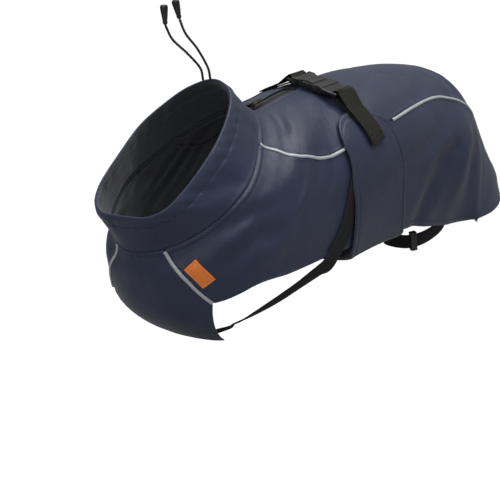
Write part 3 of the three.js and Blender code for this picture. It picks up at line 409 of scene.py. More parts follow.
def rim(d, wall):
    """How far both faces of a wall draw in at a round edge."""
    radius = wall / 2
    inside = np.clip(1 - np.clip(d, 0, radius) / radius, 0, 1)
    return radius * (1 - np.sqrt(np.maximum(1 - inside**2, 0.04)))


def new_object(name, points, faces, material, uvs=None, inner=None, body=COAT, smooth=True):
    """Mesh object from points in millimetres, which rides on a body of the frame."""
    mesh = bpy.data.meshes.new(name)
    mesh.from_pydata((np.asarray(points) * MM).tolist(), [], faces)
    if uvs is not None:
        layer = mesh.uv_layers.new(name="cloth")
        corner = np.zeros(len(mesh.loops), np.int32)
        mesh.loops.foreach_get("vertex_index", corner)
        layer.data.foreach_set("uv", (np.asarray(uvs)[corner] * MM).astype(np.float32).ravel())
    mesh.materials.append(material)
    if inner is not None:
        mesh.materials.append(inner[0])
        mesh.polygons.foreach_set("material_index", inner[1])
    mesh.polygons.foreach_set("use_smooth", [smooth] * len(mesh.polygons))
    mesh.update()
    piece = bpy.data.objects.new(name, mesh)
    bpy.context.scene.collection.objects.link(piece)
    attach(piece, body)
    return piece


def shell(name, outer, inner, uv, materials, slot, ring=False, skip=None):
    """Closed cloth wall from grids of outer and inner points."""
    rows, columns = outer.shape[:2]
    cells = columns if ring else columns - 1
    number = np.arange(rows * columns).reshape(rows, columns)
    count = rows * columns
    filled = np.ones((rows - 1, cells), bool)
    if skip is not None:
        filled &= ~skip
    faces = []
    inside = []

    def there(i, j):
        j = j % cells if ring else j
        return 0 <= i < rows - 1 and 0 <= j < cells and filled[i, j]

    for i in range(rows - 1):
        for j in range(cells):
            if not filled[i, j]:
                continue
            k = (j + 1) % columns
            a, b, c, d = number[i, j], number[i + 1, j], number[i + 1, k], number[i, k]
            faces.append((a, b, c, d))
            inside.append(0)
            faces.append((d + count, c + count, b + count, a + count))
            inside.append(1)
            for (x, y), (m, n) in (((a, b), (i, j - 1)), ((b, c), (i + 1, j)),
                                   ((c, d), (i, j + 1)), ((d, a), (i - 1, j))):
                if not there(m, n):
                    faces.append((y, x, x + count, y + count))
                    inside.append(0)
    points = np.concatenate([outer.reshape(-1, 3), inner.reshape(-1, 3)])
    faces = [tuple(int(v) for v in f) for f in faces]
    sample = faces[0]
    p = points[list(sample)]
    out = outer.reshape(-1, 3)[sample[0]] - inner.reshape(-1, 3)[sample[0]]
    if np.dot(np.cross(p[1] - p[0], p[2] - p[0]), out) < 0:
        faces = [tuple(reversed(f)) for f in faces]
    uvs = np.concatenate([uv.reshape(-1, 2)] * 2)
    used = np.zeros(len(points), bool)
    used[[v for f in faces for v in f]] = True
    renumber = np.cumsum(used) - 1
    faces = [tuple(int(renumber[v]) for v in f) for f in faces]
    return new_object(name, points[used], faces, materials[0], uvs[used], (materials[1], inside))


def evened(up, reach=4):
    """Ways out averaged over neighbouring rows, so that tight bends don't crease the wall."""
    padded = np.concatenate([up[:1]] * reach + [up] + [up[-1:]] * reach)
    return unit(sum(padded[k:k + len(up)] for k in range(2 * reach + 1)))


def panel_walls(u, q, height, edge, hem_inside=0.0):
    """Outer and inner points of a panel from its places and heights over the folded coat."""
    wall = bpy.context.scene.coat_sizes.wall / MM
    base, up = place(u, q)
    up = evened(up)
    drawn = rim(edge, wall)
    outer = base + up * (height - drawn)[..., None]
    inner = base + up * (height - wall - hem_inside + drawn)[..., None]
    return outer, inner, up


def seam_rows(marks, scale):
    """Sections of the lines of points beside the collar seam."""
    return [SEAM + m / scale for m in marks]


def cloth_materials():
    """Materials of the two faces of the cloth."""
    return finish_of("softshell_face"), finish_of("softshell_reverse")


def along_y(u, q):
    """Length along the rows of a grid of places, for weave and ripples."""
    return lengths(body_point(u, q), 0)


def even_rows(first, last, marks_first, marks_last, steps):
    """Rising values with set distances from both ends and even steps between."""
    start = [first + m for m in marks_first]
    end = [last - m for m in reversed(marks_last)]
    return np.array(start + list(np.linspace(start[-1], end[0], steps + 2)[1:-1]) + end)


ZIP_HALF_FRONT = 5.0
ZIP_HALF_REAR = 8.0
ZIP_END_Y = -14.0
ZIP_TAPE_HALF = 12.5
ZIP_TAPE_LOW = -3.1
ZIP_TAPE_HIGH = -2.1


def position_at_x(u, x):
    """Ring position at a distance x from the spine."""
    half = smooth_value([r[5] for r in SECTIONS], u)
    upper = smooth_value([r[7] for r in SECTIONS], u)
    return np.arcsin((x / half) ** (upper / 2)) / np.pi


ZIP_WIDENS_OVER = 1.5  # sections over which the opening widens


def zip_half(u):
    """Half the width of the opening over the zip."""
    share = np.minimum((np.asarray(u) - SEAM) / ZIP_WIDENS_OVER, 1)
    return ZIP_HALF_FRONT + (ZIP_HALF_REAR - ZIP_HALF_FRONT) * share


def build_back_panel():
    """Back panel from side seam to side seam, open over the zip."""
    zip_end = float(section_at_y(0.0, ZIP_END_Y))
    front = seam_rows(SEAM_MARKS, FRONT_SCALE)
    end_marks = np.array([-5.0, -2.5, -1.2, -0.5, 0, 0.5, 1.2, 2.5, 4.0]) / 30
    around_end = [zip_end + m for m in end_marks]
    rear = [TAIL - m / 47 for m in reversed(HEM_MARKS)]
    u = np.array(front + list(np.linspace(front[-1], around_end[0], 34)[1:-1]) + around_end
                 + list(np.linspace(around_end[-1], rear[0], 170)[1:-1]) + rear)
    open_rows = u < zip_end - 1e-9
    half = position_at_x(u, zip_half(u))
    share = np.linspace(0, 1, 90)
    side_q = half[:, None] + (side_seam(u) - half)[:, None] * share
    side_u = np.repeat(u[:, None], 90, axis=1)
    uu, qq, from_zip, from_seam = spread(side_u, side_q, (0, 0.3, 0.8, 1.6, 2.6, 3.6, 4.4, 5.4),
                                         SEAM_MARKS, 22)
    middle = np.linspace(-1, 1, 5)[1:-1]
    mid_q = half[:, None] * middle
    q = np.concatenate([-qq[:, ::-1], mid_q, qq], axis=1)
    u_grid = np.concatenate([uu[:, ::-1], np.repeat(u[:, None], 3, axis=1), uu], axis=1)
    far = np.full((len(u), 3), 50.0)
    seam = np.concatenate([from_seam[:, ::-1], far, from_seam], axis=1)
    zip_edge = np.concatenate([from_zip[:, ::-1], 0 * far, from_zip], axis=1)
    behind = np.maximum(u - zip_end, 0)[:, None] * 30
    zip_edge = np.where(open_rows[:, None], zip_edge, np.hypot(zip_edge, behind))
    walked = along_y(u_grid, q)
    across = lengths(body_point(u_grid, q), 1)
    from_front = (u_grid - SEAM) * FRONT_SCALE
    from_tail = (TAIL - u_grid) * 47
    height = plain_seam_profile(seam) + seam_profile(from_front) + hem_profile(from_tail)
    height += 0.5 * np.exp(-((zip_edge / 3.0) ** 2)) - 0.4 * np.exp(-(((zip_edge - 3.6) / 0.7) ** 2))
    height += puckers(walked, zip_edge, 3.6) * (u_grid < zip_end)
    height += puckers(across, from_tail, HEM_STITCH) + puckers(across, from_front, SEAM_STITCH)
    edge = np.minimum(from_tail, np.where(u_grid < zip_end + 0.04, zip_edge, 50.0))
    outer, inner, up = panel_walls(u_grid, q, height, edge)
    skip = np.zeros((len(u) - 1, q.shape[1] - 1), bool)
    columns = uu.shape[1]
    skip[open_rows[:-1], columns - 1:columns + 3] = True
    uv = np.stack([walked, across - across[:, [q.shape[1] // 2]]], axis=-1)
    piece = shell("back_panel_cloth", outer, inner, uv, cloth_materials(), "shell_cloth", skip=skip)
    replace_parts(piece, "back_panel")
    zip_column = columns - 1 - 5
    rows = np.where(open_rows)[0]
    lines = [(outer[rows, zip_column], up[rows, zip_column]),
             (outer[rows, -1 - zip_column], up[rows, -1 - zip_column]),
             row_line(outer, up, from_front[:, 0], SEAM_STITCH, (0, columns - 3)),
             row_line(outer, up, from_front[:, 0], SEAM_STITCH, (columns + 6, q.shape[1])),
             row_line(outer, up, from_tail[:, 0], HEM_STITCH, (0, q.shape[1]))]
    sew("stitches_back", lines)


def row_line(outer, up, distance, at, columns):
    """Points and ways out along the row that is nearest to a distance."""
    row = int(np.argmin(np.abs(distance - at)))
    return outer[row, columns[0]:columns[1]], up[row, columns[0]:columns[1]]


def side_edges():
    """The four edges of the left side panel, as functions of the share along them."""
    steps = np.linspace(SEAM, TAIL, SEAM_ROWS + 1)
    upper = lengths(body_point(steps, np.interp(steps, *zip(*SIDE_SEAM))), 0)
    upper_share = upper / upper[-1]
    hem_u = np.linspace(SKIRT_FRONT[0], float(hem_section(HEM_CORNER)), 160)
    hem_q = np.minimum(hem_position(hem_u), SKIRT_FRONT[1])
    hem = lengths(body_point(hem_u, hem_q), 0)
    hem_share = hem / hem[-1]

    def top(s):
        u = SEAM + (TAIL - SEAM) * s
        return u, side_seam(u)

    def bottom(s):
        row = s * SEAM_ROWS
        chest_u, chest_q = along_rows(CHEST_SEAM, np.minimum(row / CHEST_ROWS, 1))
        share = np.interp(row, np.arange(SEAM_ROWS + 1), upper_share)
        share = (share - upper_share[CHEST_ROWS]) / (1 - upper_share[CHEST_ROWS])
        lower_u = np.interp(share, hem_share, hem_u)
        lower_q = np.interp(share, hem_share, hem_q)
        beside = row <= CHEST_ROWS
        return np.where(beside, chest_u, lower_u), np.where(beside, chest_q, lower_q)

    def front(t):
        return np.full(t.shape, SEAM), SIDE_SEAM[0][1] + (CHEST_SEAM[0][1] - SIDE_SEAM[0][1]) * t

    def rear(t):
        q = SIDE_SEAM[-1][1] + (HEM_CORNER - SIDE_SEAM[-1][1]) * t
        return np.where(t <= 0, TAIL, hem_section(q)), q

    return top, bottom, front, rear


def build_side_panels():
    """Left and right side panels: side seam above, collar and chest seam in front, hem below."""
    top, bottom, front, rear = side_edges()
    sections = TAIL - SEAM
    s = even_rows(0.0, 1.0, [m / FRONT_SCALE / sections for m in SEAM_MARKS],
                  [m / TAIL_SCALE for m in HEM_MARKS], 190)
    dense_u, dense_q = patch(top, bottom, front, rear, s, np.linspace(0, 1, 120))
    u, q, from_seam, from_hem = spread(dense_u, dense_q, SEAM_MARKS, HEM_MARKS, 46)
    walked = along_y(u, q)
    down = lengths(body_point(u, q), 1)
    s_grid = np.repeat(s[:, None], u.shape[1], axis=1)
    from_front = s_grid * sections * FRONT_SCALE
    from_tail = (1 - s_grid) * TAIL_SCALE
    beside_chest = 1 / (1 + np.exp((s_grid * SEAM_ROWS - CHEST_ROWS) / 0.05))
    height = plain_seam_profile(from_seam) + seam_profile(from_front)
    height += beside_chest * plain_seam_profile(from_hem)
    corner = np.minimum(from_hem + 100 * beside_chest, from_tail)
    height += hem_profile(corner)
    height += (1 - beside_chest) * puckers(walked, from_hem, HEM_STITCH)
    height += puckers(down, from_tail, HEM_STITCH) + puckers(down, from_front, SEAM_STITCH)
    stitch_column = int(np.argmin(np.abs(from_hem[len(s) // 2] - HEM_STITCH)))
    for word, side in (("left", 1), ("right", -1)):
        outer, inner, up = panel_walls(u, side * q, height, corner)
        uv = np.stack([walked, side * down], axis=-1)
        piece = shell(f"side_panel_{word}_cloth", outer, inner, uv, cloth_materials(), "shell_cloth")
        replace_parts(piece, f"side_panel_{word}")
        chest_rows = int(np.searchsorted(s, CHEST_ROWS / SEAM_ROWS)) + 2
        tail_row = int(np.argmin(np.abs(from_tail[:, 0] - HEM_STITCH)))
        lines = [(outer[chest_rows:tail_row + 1, stitch_column], up[chest_rows:tail_row + 1, stitch_column]),
                 row_line(outer, up, from_front[:, 0], SEAM_STITCH, (0, u.shape[1])),
                 (outer[tail_row, :stitch_column + 1], up[tail_row, :stitch_column + 1])]
        sew(f"stitches_side_{word}", lines)


def build_chest_panel():
    """Chest panel and the flap that runs back between the front legs."""
    def left(s):
        u, q = along_rows(CHEST_SEAM, np.minimum(s * 2, 1))
        flap_u, flap_q = along_rows(FLAP_EDGE, np.clip(s * 2 - 1, 0, 1))
        return np.where(s <= 0.5, u, flap_u), np.where(s <= 0.5, q, flap_q)

    def right(s):
        u, q = left(s)
        return u, 2 - q

    def top(t):
        return np.full(t.shape, SEAM), CHEST_SEAM[0][1] + (2 - 2 * CHEST_SEAM[0][1]) * t

    def end(t):
        return along_rows(FLAP_END, t)

    s = even_rows(0.0, 1.0, [m / 120 for m in SEAM_MARKS], [m / 120 for m in HEM_MARKS], 40)
    dense_u, dense_q = patch(left, right, top, end, s, np.linspace(0, 1, 120))
    u, q, near, far = spread(dense_u, dense_q, HEM_MARKS, HEM_MARKS, 24)
    walked = along_y(u, q)
    across = lengths(body_point(u, q), 1)
    s_grid = np.repeat(s[:, None], u.shape[1], axis=1)
    from_front = s_grid * 120
    from_end = (1 - s_grid) * 120
    side = np.minimum(near, far)
    flap = 1 / (1 + np.exp((0.5 - s_grid) / 0.008))
    hem = np.minimum(side + 100 * (1 - flap), from_end)
    height = seam_profile(from_front) + (1 - flap) * plain_seam_profile(side) + hem_profile(hem)
    height += flap * puckers(walked, side, HEM_STITCH) + puckers(across, from_front, SEAM_STITCH)
    outer, inner, up = panel_walls(u, q, height, hem)
    uv = np.stack([walked, across], axis=-1)
    piece = shell("chest_panel_cloth", outer, inner, uv, cloth_materials(), "shell_cloth")
    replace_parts(piece, "chest_panel")
    column = int(np.argmin(np.abs(near[len(s) // 2] - HEM_STITCH)))
    rows = slice(int(np.searchsorted(s, 0.5)) + 1, int(np.argmin(np.abs(from_end[:, 0] - HEM_STITCH))) + 1)
    lines = [(outer[rows, column], up[rows, column]),
             (outer[rows, -1 - column], up[rows, -1 - column]),
             row_line(outer, up, from_front[:, 0], SEAM_STITCH, (0, u.shape[1])),
             row_line(outer, up, from_end[:, 0], HEM_STITCH, (column, u.shape[1] - column))]
    sew("stitches_chest", lines)


def build_collar():
    """Collar: a ring from the collar seam up to the neck edge, with its drawstring casing."""
    marks = [m / COLLAR_DEEP for m in SEAM_MARKS]
    casing = [m / COLLAR_DEEP for m in (0, 0.4, 1.0, 2.0, 3.5, 6, 9, 11.5, 12.7, 13.5, 14.3, 16)]
    u_rows = np.array([1 - v for v in even_rows(0.0, 1.0, marks, casing, 12)])
    ring = np.linspace(-1, 1, 241)[:-1]
    u = np.repeat(u_rows[:, None], len(ring), axis=1)
    q = np.repeat(ring[None, :], len(u_rows), axis=0)
    around = lengths(body_point(u, q), 1)
    up_from_seam = (1 - u) * COLLAR_DEEP
    from_edge = u * COLLAR_DEEP
    height = plain_seam_profile(up_from_seam)
    tube = 0.9 * np.exp(-(((from_edge - 6.5) / 4.5) ** 2)) / (1 + np.exp((from_edge - 13) / 0.4))
    height += tube - 0.55 * np.exp(-(((from_edge - CASING_STITCH) / 0.8) ** 2))
    gather = np.sin(2 * np.pi * around / 16 + 1.7 * np.sin(around / 23))
    height += 0.34 * gather * np.exp(-(((from_edge - 11) / 7) ** 2))
    height += puckers(around, from_edge, CASING_STITCH)
    outer, inner, up = panel_walls(u, q, height, from_edge, 0.9 / (1 + np.exp((from_edge - 13) / 0.4)))
    uv = np.stack([around, up_from_seam], axis=-1)
    piece = shell("collar_cloth", outer, inner, uv, cloth_materials(), "shell_cloth", ring=True)
    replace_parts(piece, "collar")
    closed = list(range(len(ring))) + [0]
    row = int(np.argmin(np.abs(from_edge[:, 0] - CASING_STITCH)))
    sew("stitches_collar", [(outer[row][closed], up[row][closed])])


BAND_LOW = 2.4
BAND_HIGH = 4.0
BAND_FRONT_Y = -44.0
BAND_REAR_Y = 46.0
BAND_FULL = 0.35
BAND_LEAVES_COAT = 0.61
BELLY_LOW = -156.0
BAND_EDGE_FRONT = ((0.2, -4), (0.24, -22), (0.3, -38), (0.35, -42), (0.42, -46), (0.5, -47), (0.6, -50))
BAND_EDGE_REAR = ((0.2, 8), (0.24, 14), (0.3, 28), (0.35, 44), (0.42, 49), (0.5, 52), (0.6, 56))
# Rounded end of the band: (share across the band, ring position).
BAND_END = ((0, 0.315), (0.04, 0.272), (0.14, 0.236), (0.3, 0.222), (0.55, 0.232), (0.8, 0.272),
            (0.94, 0.312), (1, 0.36))
BAND_WIDE = 96
BAND_STITCH = 6.5


def build_belly_band():
    """Belly band: over both side panels and under the belly, with rounded ends beside the spine."""
    marks = np.array([0, 0.4, 1.0, 2.0, 3.5, 5.0, 5.8, 6.5, 7.2, 8.2, 10])
    across = even_rows(0.0, 1.0, marks / BAND_WIDE, marks / BAND_WIDE, 22)
    end_across = np.array([e[0] for e in BAND_END])
    end_q = np.array([e[1] for e in BAND_END])
    fine = np.linspace(0, len(BAND_END) - 1, 300)
    smooth_across = np.maximum.accumulate(smooth_value(end_across, fine))
    start_q = np.interp(across, smooth_across, smooth_value(end_q, fine))
    steps = np.concatenate([[0, 0.06, 0.14, 0.25, 0.4, 0.55, 0.64, 0.73, 0.85, 1.0],
                            np.linspace(1.0, 9.0, 44)[1:]])
    q = start_q[None, :] + (BAND_LEAVES_COAT - start_q)[None, :] * steps[:, None] / 9
    wide = BAND_FRONT_Y + (BAND_REAR_Y - BAND_FRONT_Y) * across[None, :]
    at = np.maximum(q, BAND_FULL)
    front_y = smooth_lookup(BAND_EDGE_FRONT, at)
    full = front_y + (smooth_lookup(BAND_EDGE_REAR, at) - front_y) * across[None, :]
    y = wide + (full - wide) * np.minimum(steps[:, None] / 3, 1)
    u = section_at_y(q, y)
    coat_points, coat_up = place(u, q)
    start = coat_points[-1]
    angle = np.linspace(0, np.pi, 74)[1:-1]
    width = np.cos(angle)[:, None]
    depth = np.sin(angle)[:, None]
    under = np.empty((len(angle), len(across), 3))
    under[..., 0] = start[:, 0] * np.sign(width) * np.abs(width) ** (2 / 2.5)
    under[..., 1] = start[:, 1]
    under[..., 2] = start[:, 2] + (BELLY_LOW - start[:, 2]) * depth ** (2 / 2.5)
    under_up = np.repeat(unit(np.stack([width * 0.9, 0 * width, -depth * 1.1], axis=-1)), len(across), 1)
    turn = np.array([-1.0, 1, 1])
    base = np.concatenate([coat_points, under, coat_points[::-1] * turn])
    up = np.concatenate([coat_up, under_up, coat_up[::-1] * turn])
    from_front = np.repeat(across[None, :] * BAND_WIDE, len(base), axis=0)
    from_rear = BAND_WIDE - from_front
    walked = lengths(base, 0)
    from_end = np.minimum(walked, walked[-1] - walked)
    edge = np.minimum(np.minimum(from_front, from_rear), from_end)
    height = 0.3 - 0.45 * np.exp(-(((edge - BAND_STITCH) / 0.75) ** 2))
    height += 0.25 * np.exp(-(((edge - 3.0) / 2.0) ** 2)) + puckers(walked, edge, BAND_STITCH)
    lift = BAND_HIGH - 0.3
    wall = BAND_HIGH - BAND_LOW
    drawn = rim(edge, wall)
    outer = base + up * (lift + height - drawn)[..., None]
    inner = base + up * (lift - wall + 0.3 + drawn)[..., None]
    uv = np.stack([from_front, walked], axis=-1)
    piece = shell("belly_band_cloth", outer, inner, uv, cloth_materials(), "shell_cloth")
    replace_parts(piece, "belly_band")
    sew("stitches_band", band_stitch_lines(outer, up, from_front, from_end))


def band_stitch_lines(outer, up, from_front, from_end):
    """A closed line of stitches all round the band."""
    columns = outer.shape[1]
    front = int(np.argmin(np.abs(from_front[0] - BAND_STITCH)))
    rear = columns - 1 - front
    middle = columns // 2
    rows = len(outer)
    turn = int(np.argmin(np.abs(from_end[:rows // 2, middle] - BAND_STITCH)))
    lines = [(outer[turn:rows - turn, front], up[turn:rows - turn, front]),
             (outer[turn:rows - turn, rear], up[turn:rows - turn, rear])]
    for row in (turn, rows - 1 - turn):
        lines.append((outer[row, front:rear + 1], up[row, front:rear + 1]))
    return lines


def sew(name, lines, material="seam_thread", scale=1.0):
    """Rows of stitches along lines of points, made of one small stitch copied many times."""
    sizes = bpy.context.scene.coat_sizes
    length, gap, radius = [scale * v / MM for v in (sizes.stitch, sizes.stitch_gap, sizes.thread)]
    ring = 5
    profile = ((-0.5, 0.0), (-0.36, 0.8), (0.0, 1.15), (0.36, 0.8), (0.5, 0.0))
    points = []
    faces = []
    for line, up in lines:
        walked = lengths(np.asarray(line), 0)
        for middle in np.arange(length, walked[-1] - length / 2, length + gap):
            ends = [middle - length / 2, middle + length / 2]
            a, b = [np.array([np.interp(e, walked, line[:, k]) for k in range(3)]) for e in ends]
            out = np.array([np.interp(middle, walked, up[:, k]) for k in range(3)])
            way = unit(b - a)
            side = unit(np.cross(way, out))
            out = np.cross(side, way)
            first = len(points)
            for along, wide in profile:
                centre = (a + b) / 2 + way * along * length + out * radius * 0.35
                count = 1 if wide == 0 else ring
                for k in range(count):
                    turn = 2 * np.pi * k / ring
                    points.append(centre + radius * wide * (side * np.cos(turn) + out * np.sin(turn)))
            for k in range(ring):
                n = (k + 1) % ring
                faces.append((first, first + 1 + n, first + 1 + k))
                for r in (0, 1):
                    base = first + 1 + r * ring
                    faces.append((base + k, base + n, base + ring + n, base + ring + k))
                last = first + 1 + 3 * ring
                faces.append((last, last - ring + k, last - ring + n))
    return new_object(name, points, faces, finish_of(material))


def resample(points, ups, step):
    """Evenly spaced points and ways up on the smooth path through a few."""
    points = np.asarray(points, float)
    ups = np.asarray(ups, float)
    fine = np.linspace(0, len(points) - 1, 40 * len(points))
    dense = np.stack([smooth_value(points[:, k], fine) for k in range(3)], axis=-1)
    walked = lengths(dense, 0)
    where = np.interp(np.linspace(0, walked[-1], max(3, round(walked[-1] / step))), walked, fine)
    path = np.stack([smooth_value(points[:, k], where) for k in range(3)], axis=-1)
    up = unit(np.stack([smooth_value(ups[:, k], where) for k in range(3)], axis=-1))
    return path, up


def sweep(name, path, ups, outline, material, shape=None):
    """Closed strip along a path. shape(walked, outline) gives the outline at each station."""
    way = unit(np.gradient(path, axis=0))
    side = unit(np.cross(way, ups))
    up = np.cross(side, way)
    walked = lengths(path, 0)
    outline = np.asarray(outline, float)
    offsets = np.repeat(outline[None], len(path), axis=0)
    if shape is not None:
        offsets = shape(walked[:, None], offsets)
    grid = path[:, None] + side[:, None] * offsets[..., :1] + up[:, None] * offsets[..., 1:]
    n = len(outline)
    faces = []
    for i in range(len(path) - 1):
        for k in range(n):
            m = (k + 1) % n
            faces.append((i * n + k, i * n + m, (i + 1) * n + m, (i + 1) * n + k))
    last = (len(path) - 1) * n
    faces.append(tuple(reversed(range(n))))
    faces.append(tuple(range(last, last + n)))
    uv = np.stack([np.repeat(outline[None, :, 0], len(path), axis=0),
                   np.repeat(walked[:, None], n, axis=1)], axis=-1).reshape(-1, 2)
    return new_object(name, grid.reshape(-1, 3), faces, material, uv)


def strip_outline(half, thick, across=10):
    """Flat outline with round edges, run so that a sweep's faces look outward."""
    radius = thick / 2
    turn = np.linspace(-np.pi / 2, np.pi / 2, 5)
    right = [(half - radius + radius * np.cos(a), radius * np.sin(a)) for a in turn]
    top = [(x, radius) for x in np.linspace(half - radius, radius - half, across + 1)[1:-1]]
    left = [(-x, -y) for x, y in right]
    bottom = [(-x, -y) for x, y in top]
    return right + top + left + bottom


PIPING_LOW = 0.2
PIPING_HIGH = 1.75


def piping_outline(half):
    """Outline across the piping: a round crown on a flat foot."""
    turn = np.linspace(0, np.pi, 9)
    crown = [(half * math.cos(a), 0.75 + (PIPING_HIGH - 0.75) * math.sin(a)) for a in turn]
    return crown + [(-half * 0.9, PIPING_LOW), (half * 0.9, PIPING_LOW)]


def build_piping():
    """Reflective piping in the side seams, in front of and behind the band, and in the chest seams."""
    half = bpy.context.scene.coat_sizes.piping / MM / 2
    finish = finish_of("piping_tape")

    def uneven(walked, offsets):
        offsets = offsets.copy()
        offsets[..., 1] *= 1 + 0.05 * np.sin(walked / 3.1) + 0.04 * np.sin(walked / 1.3 + 1)
        offsets[..., 0] *= 1 + 0.04 * np.sin(walked / 5.3 + 2)
        return offsets

    t = np.linspace(0, 1, 150)
    for word, side in (("left", 1), ("right", -1)):
        for place_word, first, last in (("front", 1.03, 4.75), ("rear", 6.62, 13.97)):
            u = first + (last - first) * t
            path, up = place(u, side * side_seam(u))
            path, up = resample(path, up, 1.2)
            name = f"side_piping_{place_word}_{word}"
            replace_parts(sweep(f"{name}_tape", path, up, piping_outline(half), finish,
                              uneven), name)
        u, q = along_rows(CHEST_SEAM, 0.03 + 0.96 * t)
        path, up = place(u, side * q)
        path, up = resample(path, up, 1.2)
        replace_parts(sweep(f"chest_piping_{word}_tape", path, up, piping_outline(half), finish,
                          uneven), f"chest_piping_{word}")


LABEL = ((1.62, 0.772), (2.32, 0.738), (2.36, 0.789), (1.76, 0.822))
LABEL_LIFT = 1.5
LABEL_THICK = 1.2
LABEL_STITCH = 1.9


def build_label():
    """Bare leather label behind the left chest piping, sewn on round its edge."""
    def edge(a, b):
        return lambda t: (a[0] + (b[0] - a[0]) * t, a[1] + (b[1] - a[1]) * t)

    marks = np.array([0, 0.15, 0.4, 0.8, 1.4, 1.9, 2.4, 3.2])
    s = even_rows(0.0, 1.0, marks / 35, marks / 35, 14)
    t = even_rows(0.0, 1.0, marks / 20, marks / 20, 8)
    u, q = patch(edge(LABEL[0], LABEL[1]), edge(LABEL[3], LABEL[2]), edge(LABEL[0], LABEL[3]),
                 edge(LABEL[1], LABEL[2]), s, t)
    base, up = place(u, q)
    walked = lengths(base, 0)
    across = lengths(base, 1)
    edge_distance = np.minimum(np.minimum(walked, walked[-1] - walked),
                               np.minimum(across, across[:, -1:] - across))
    height = LABEL_LIFT - 0.22 * np.exp(-(((edge_distance - LABEL_STITCH) / 0.55) ** 2))
    drawn = rim(edge_distance, LABEL_THICK)
    outer = base + up * (height - drawn)[..., None]
    inner = base + up * (LABEL_LIFT - LABEL_THICK + drawn)[..., None]
    leather = finish_of("label_hide")
    uv = np.stack([walked, across], axis=-1)
    piece = shell("label_leather", outer, inner, uv, (leather, leather), "label_leather")
    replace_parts(piece, "label_patch")
    line = int(np.argmin(np.abs(marks - LABEL_STITCH)))
    far_row, far_column = len(s) - 1 - line, len(t) - 1 - line
    rows = slice(line, far_row + 1)
    columns = slice(line, far_column + 1)
    lines = [(outer[rows, line], up[rows, line]), (outer[rows, far_column], up[rows, far_column]),
             (outer[line, columns], up[line, columns]), (outer[far_row, columns], up[far_row, columns])]
    sew("stitches_label", lines, "label_thread", 0.75)


COIL_RADIUS = 0.42
COIL_HALF = 2.5
ZIP_CLOSED_FROM_Y = -80.0
ZIP_BAR_PARTS = 7


def build_zip():
    """Zip tapes under the opening, and the coil closed from the slider to the end of the opening."""
    end = float(section_at_y(0.0, ZIP_END_Y)) + 0.12
    u = np.linspace(SEAM + 0.06, end, 70)
    share = np.linspace(0, 1, 26)
    knit = finish_of("zip_knit")
    for word, side in (("left", 1), ("right", -1)):
        near = position_at_x(u, 0.35)
        far = position_at_x(u, ZIP_TAPE_HALF)
        q = near[:, None] + (far - near)[:, None] * share
        u_grid = np.repeat(u[:, None], len(share), axis=1)
        base, up = place(u_grid, side * q)
        x = np.abs(base[..., 0])
        height = ZIP_TAPE_HIGH + 0.35 * np.exp(-(((x - 2.6) / 1.2) ** 2))
        outer = base + up * height[..., None]
        inner = base + up * ZIP_TAPE_LOW
        uv = np.stack([base[..., 0], lengths(base, 0)], axis=-1)
        piece = shell(f"zip_tape_{word}_knit", outer, inner, uv, (knit, knit), "zip_tape")
        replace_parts(piece, f"zip_tape_{word}")
    first = float(section_at_y(0.0, ZIP_CLOSED_FROM_Y))
    line, line_up = place(np.linspace(first, end - 0.1, 200), np.zeros(200))
    pitch = bpy.context.scene.coat_sizes.tooth / MM / 2
    path, ups = resample(line, line_up, pitch)
    way = unit(np.gradient(path, axis=0))
    points = []
    faces = []
    ring = 6
    for k in range(len(path)):
        hand = 1 if k % 2 else -1
        side = unit(np.cross(way[k], ups[k])) * hand
        ends = (-0.35 * COIL_HALF, COIL_HALF)
        base = len(points)
        for part in range(ZIP_BAR_PARTS):
            share_along = part / (ZIP_BAR_PARTS - 1)
            out = ends[0] + (ends[1] - ends[0]) * share_along
            arch = math.sin(math.pi * (0.12 + 0.76 * share_along))
            centre = path[k] + side * out + ups[k] * (ZIP_TAPE_HIGH + 0.1 + 0.45 * arch)
            for m in range(ring):
                turn = 2 * math.pi * m / ring
                spoke = way[k] * math.cos(turn) * 0.8 + ups[k] * math.sin(turn)
                points.append(centre + COIL_RADIUS * spoke)
        for part in range(ZIP_BAR_PARTS - 1):
            for m in range(ring):
                a = base + part * ring + m
                b = base + part * ring + (m + 1) % ring
                quad = (a, a + ring, b + ring, b)
                faces.append(quad if hand > 0 else tuple(reversed(quad)))
        cap = tuple(base + m for m in range(ring))
        tip = tuple(base + (ZIP_BAR_PARTS - 1) * ring + m for m in range(ring))
        faces.append(cap if hand > 0 else tuple(reversed(cap)))
        faces.append(tuple(reversed(tip)) if hand > 0 else tip)
    new_object("zip_coil", points, faces, finish_of("zip_nylon"))


def clear_selection():
    """Leave any edit mode and select nothing."""
    if bpy.context.object is not None and bpy.context.object.mode != "OBJECT":
        bpy.ops.object.mode_set(mode="OBJECT")
    bpy.ops.object.select_all(action="DESELECT")


def make_active(piece):
    """Select one piece alone."""
    clear_selection()
    piece.select_set(True)
    bpy.context.view_layer.objects.active = piece


def add_block(name, low, high):
    """Box between two corners in millimetres, its place in its mesh."""
    clear_selection()
    centre = [(a + b) / 2 * MM for a, b in zip(low, high)]
    size = [(b - a) * MM for a, b in zip(low, high)]
    bpy.ops.mesh.primitive_cube_add(size=1, location=centre, scale=size)
    piece = bpy.context.active_object
    piece.name = name
    bpy.ops.object.transform_apply(location=True, rotation=True, scale=True)
    return piece


def add_rod(name, centre, radius, depth, turn=(0, 0, 0), vertices=24):
    """Cylinder in millimetres, its place in its mesh."""
    clear_selection()
    bpy.ops.mesh.primitive_cylinder_add(vertices=vertices, radius=radius * MM, depth=depth * MM,
                                        location=[c * MM for c in centre], rotation=turn)
    piece = bpy.context.active_object
    piece.name = name
    bpy.ops.object.transform_apply(location=True, rotation=True, scale=True)
    return piece


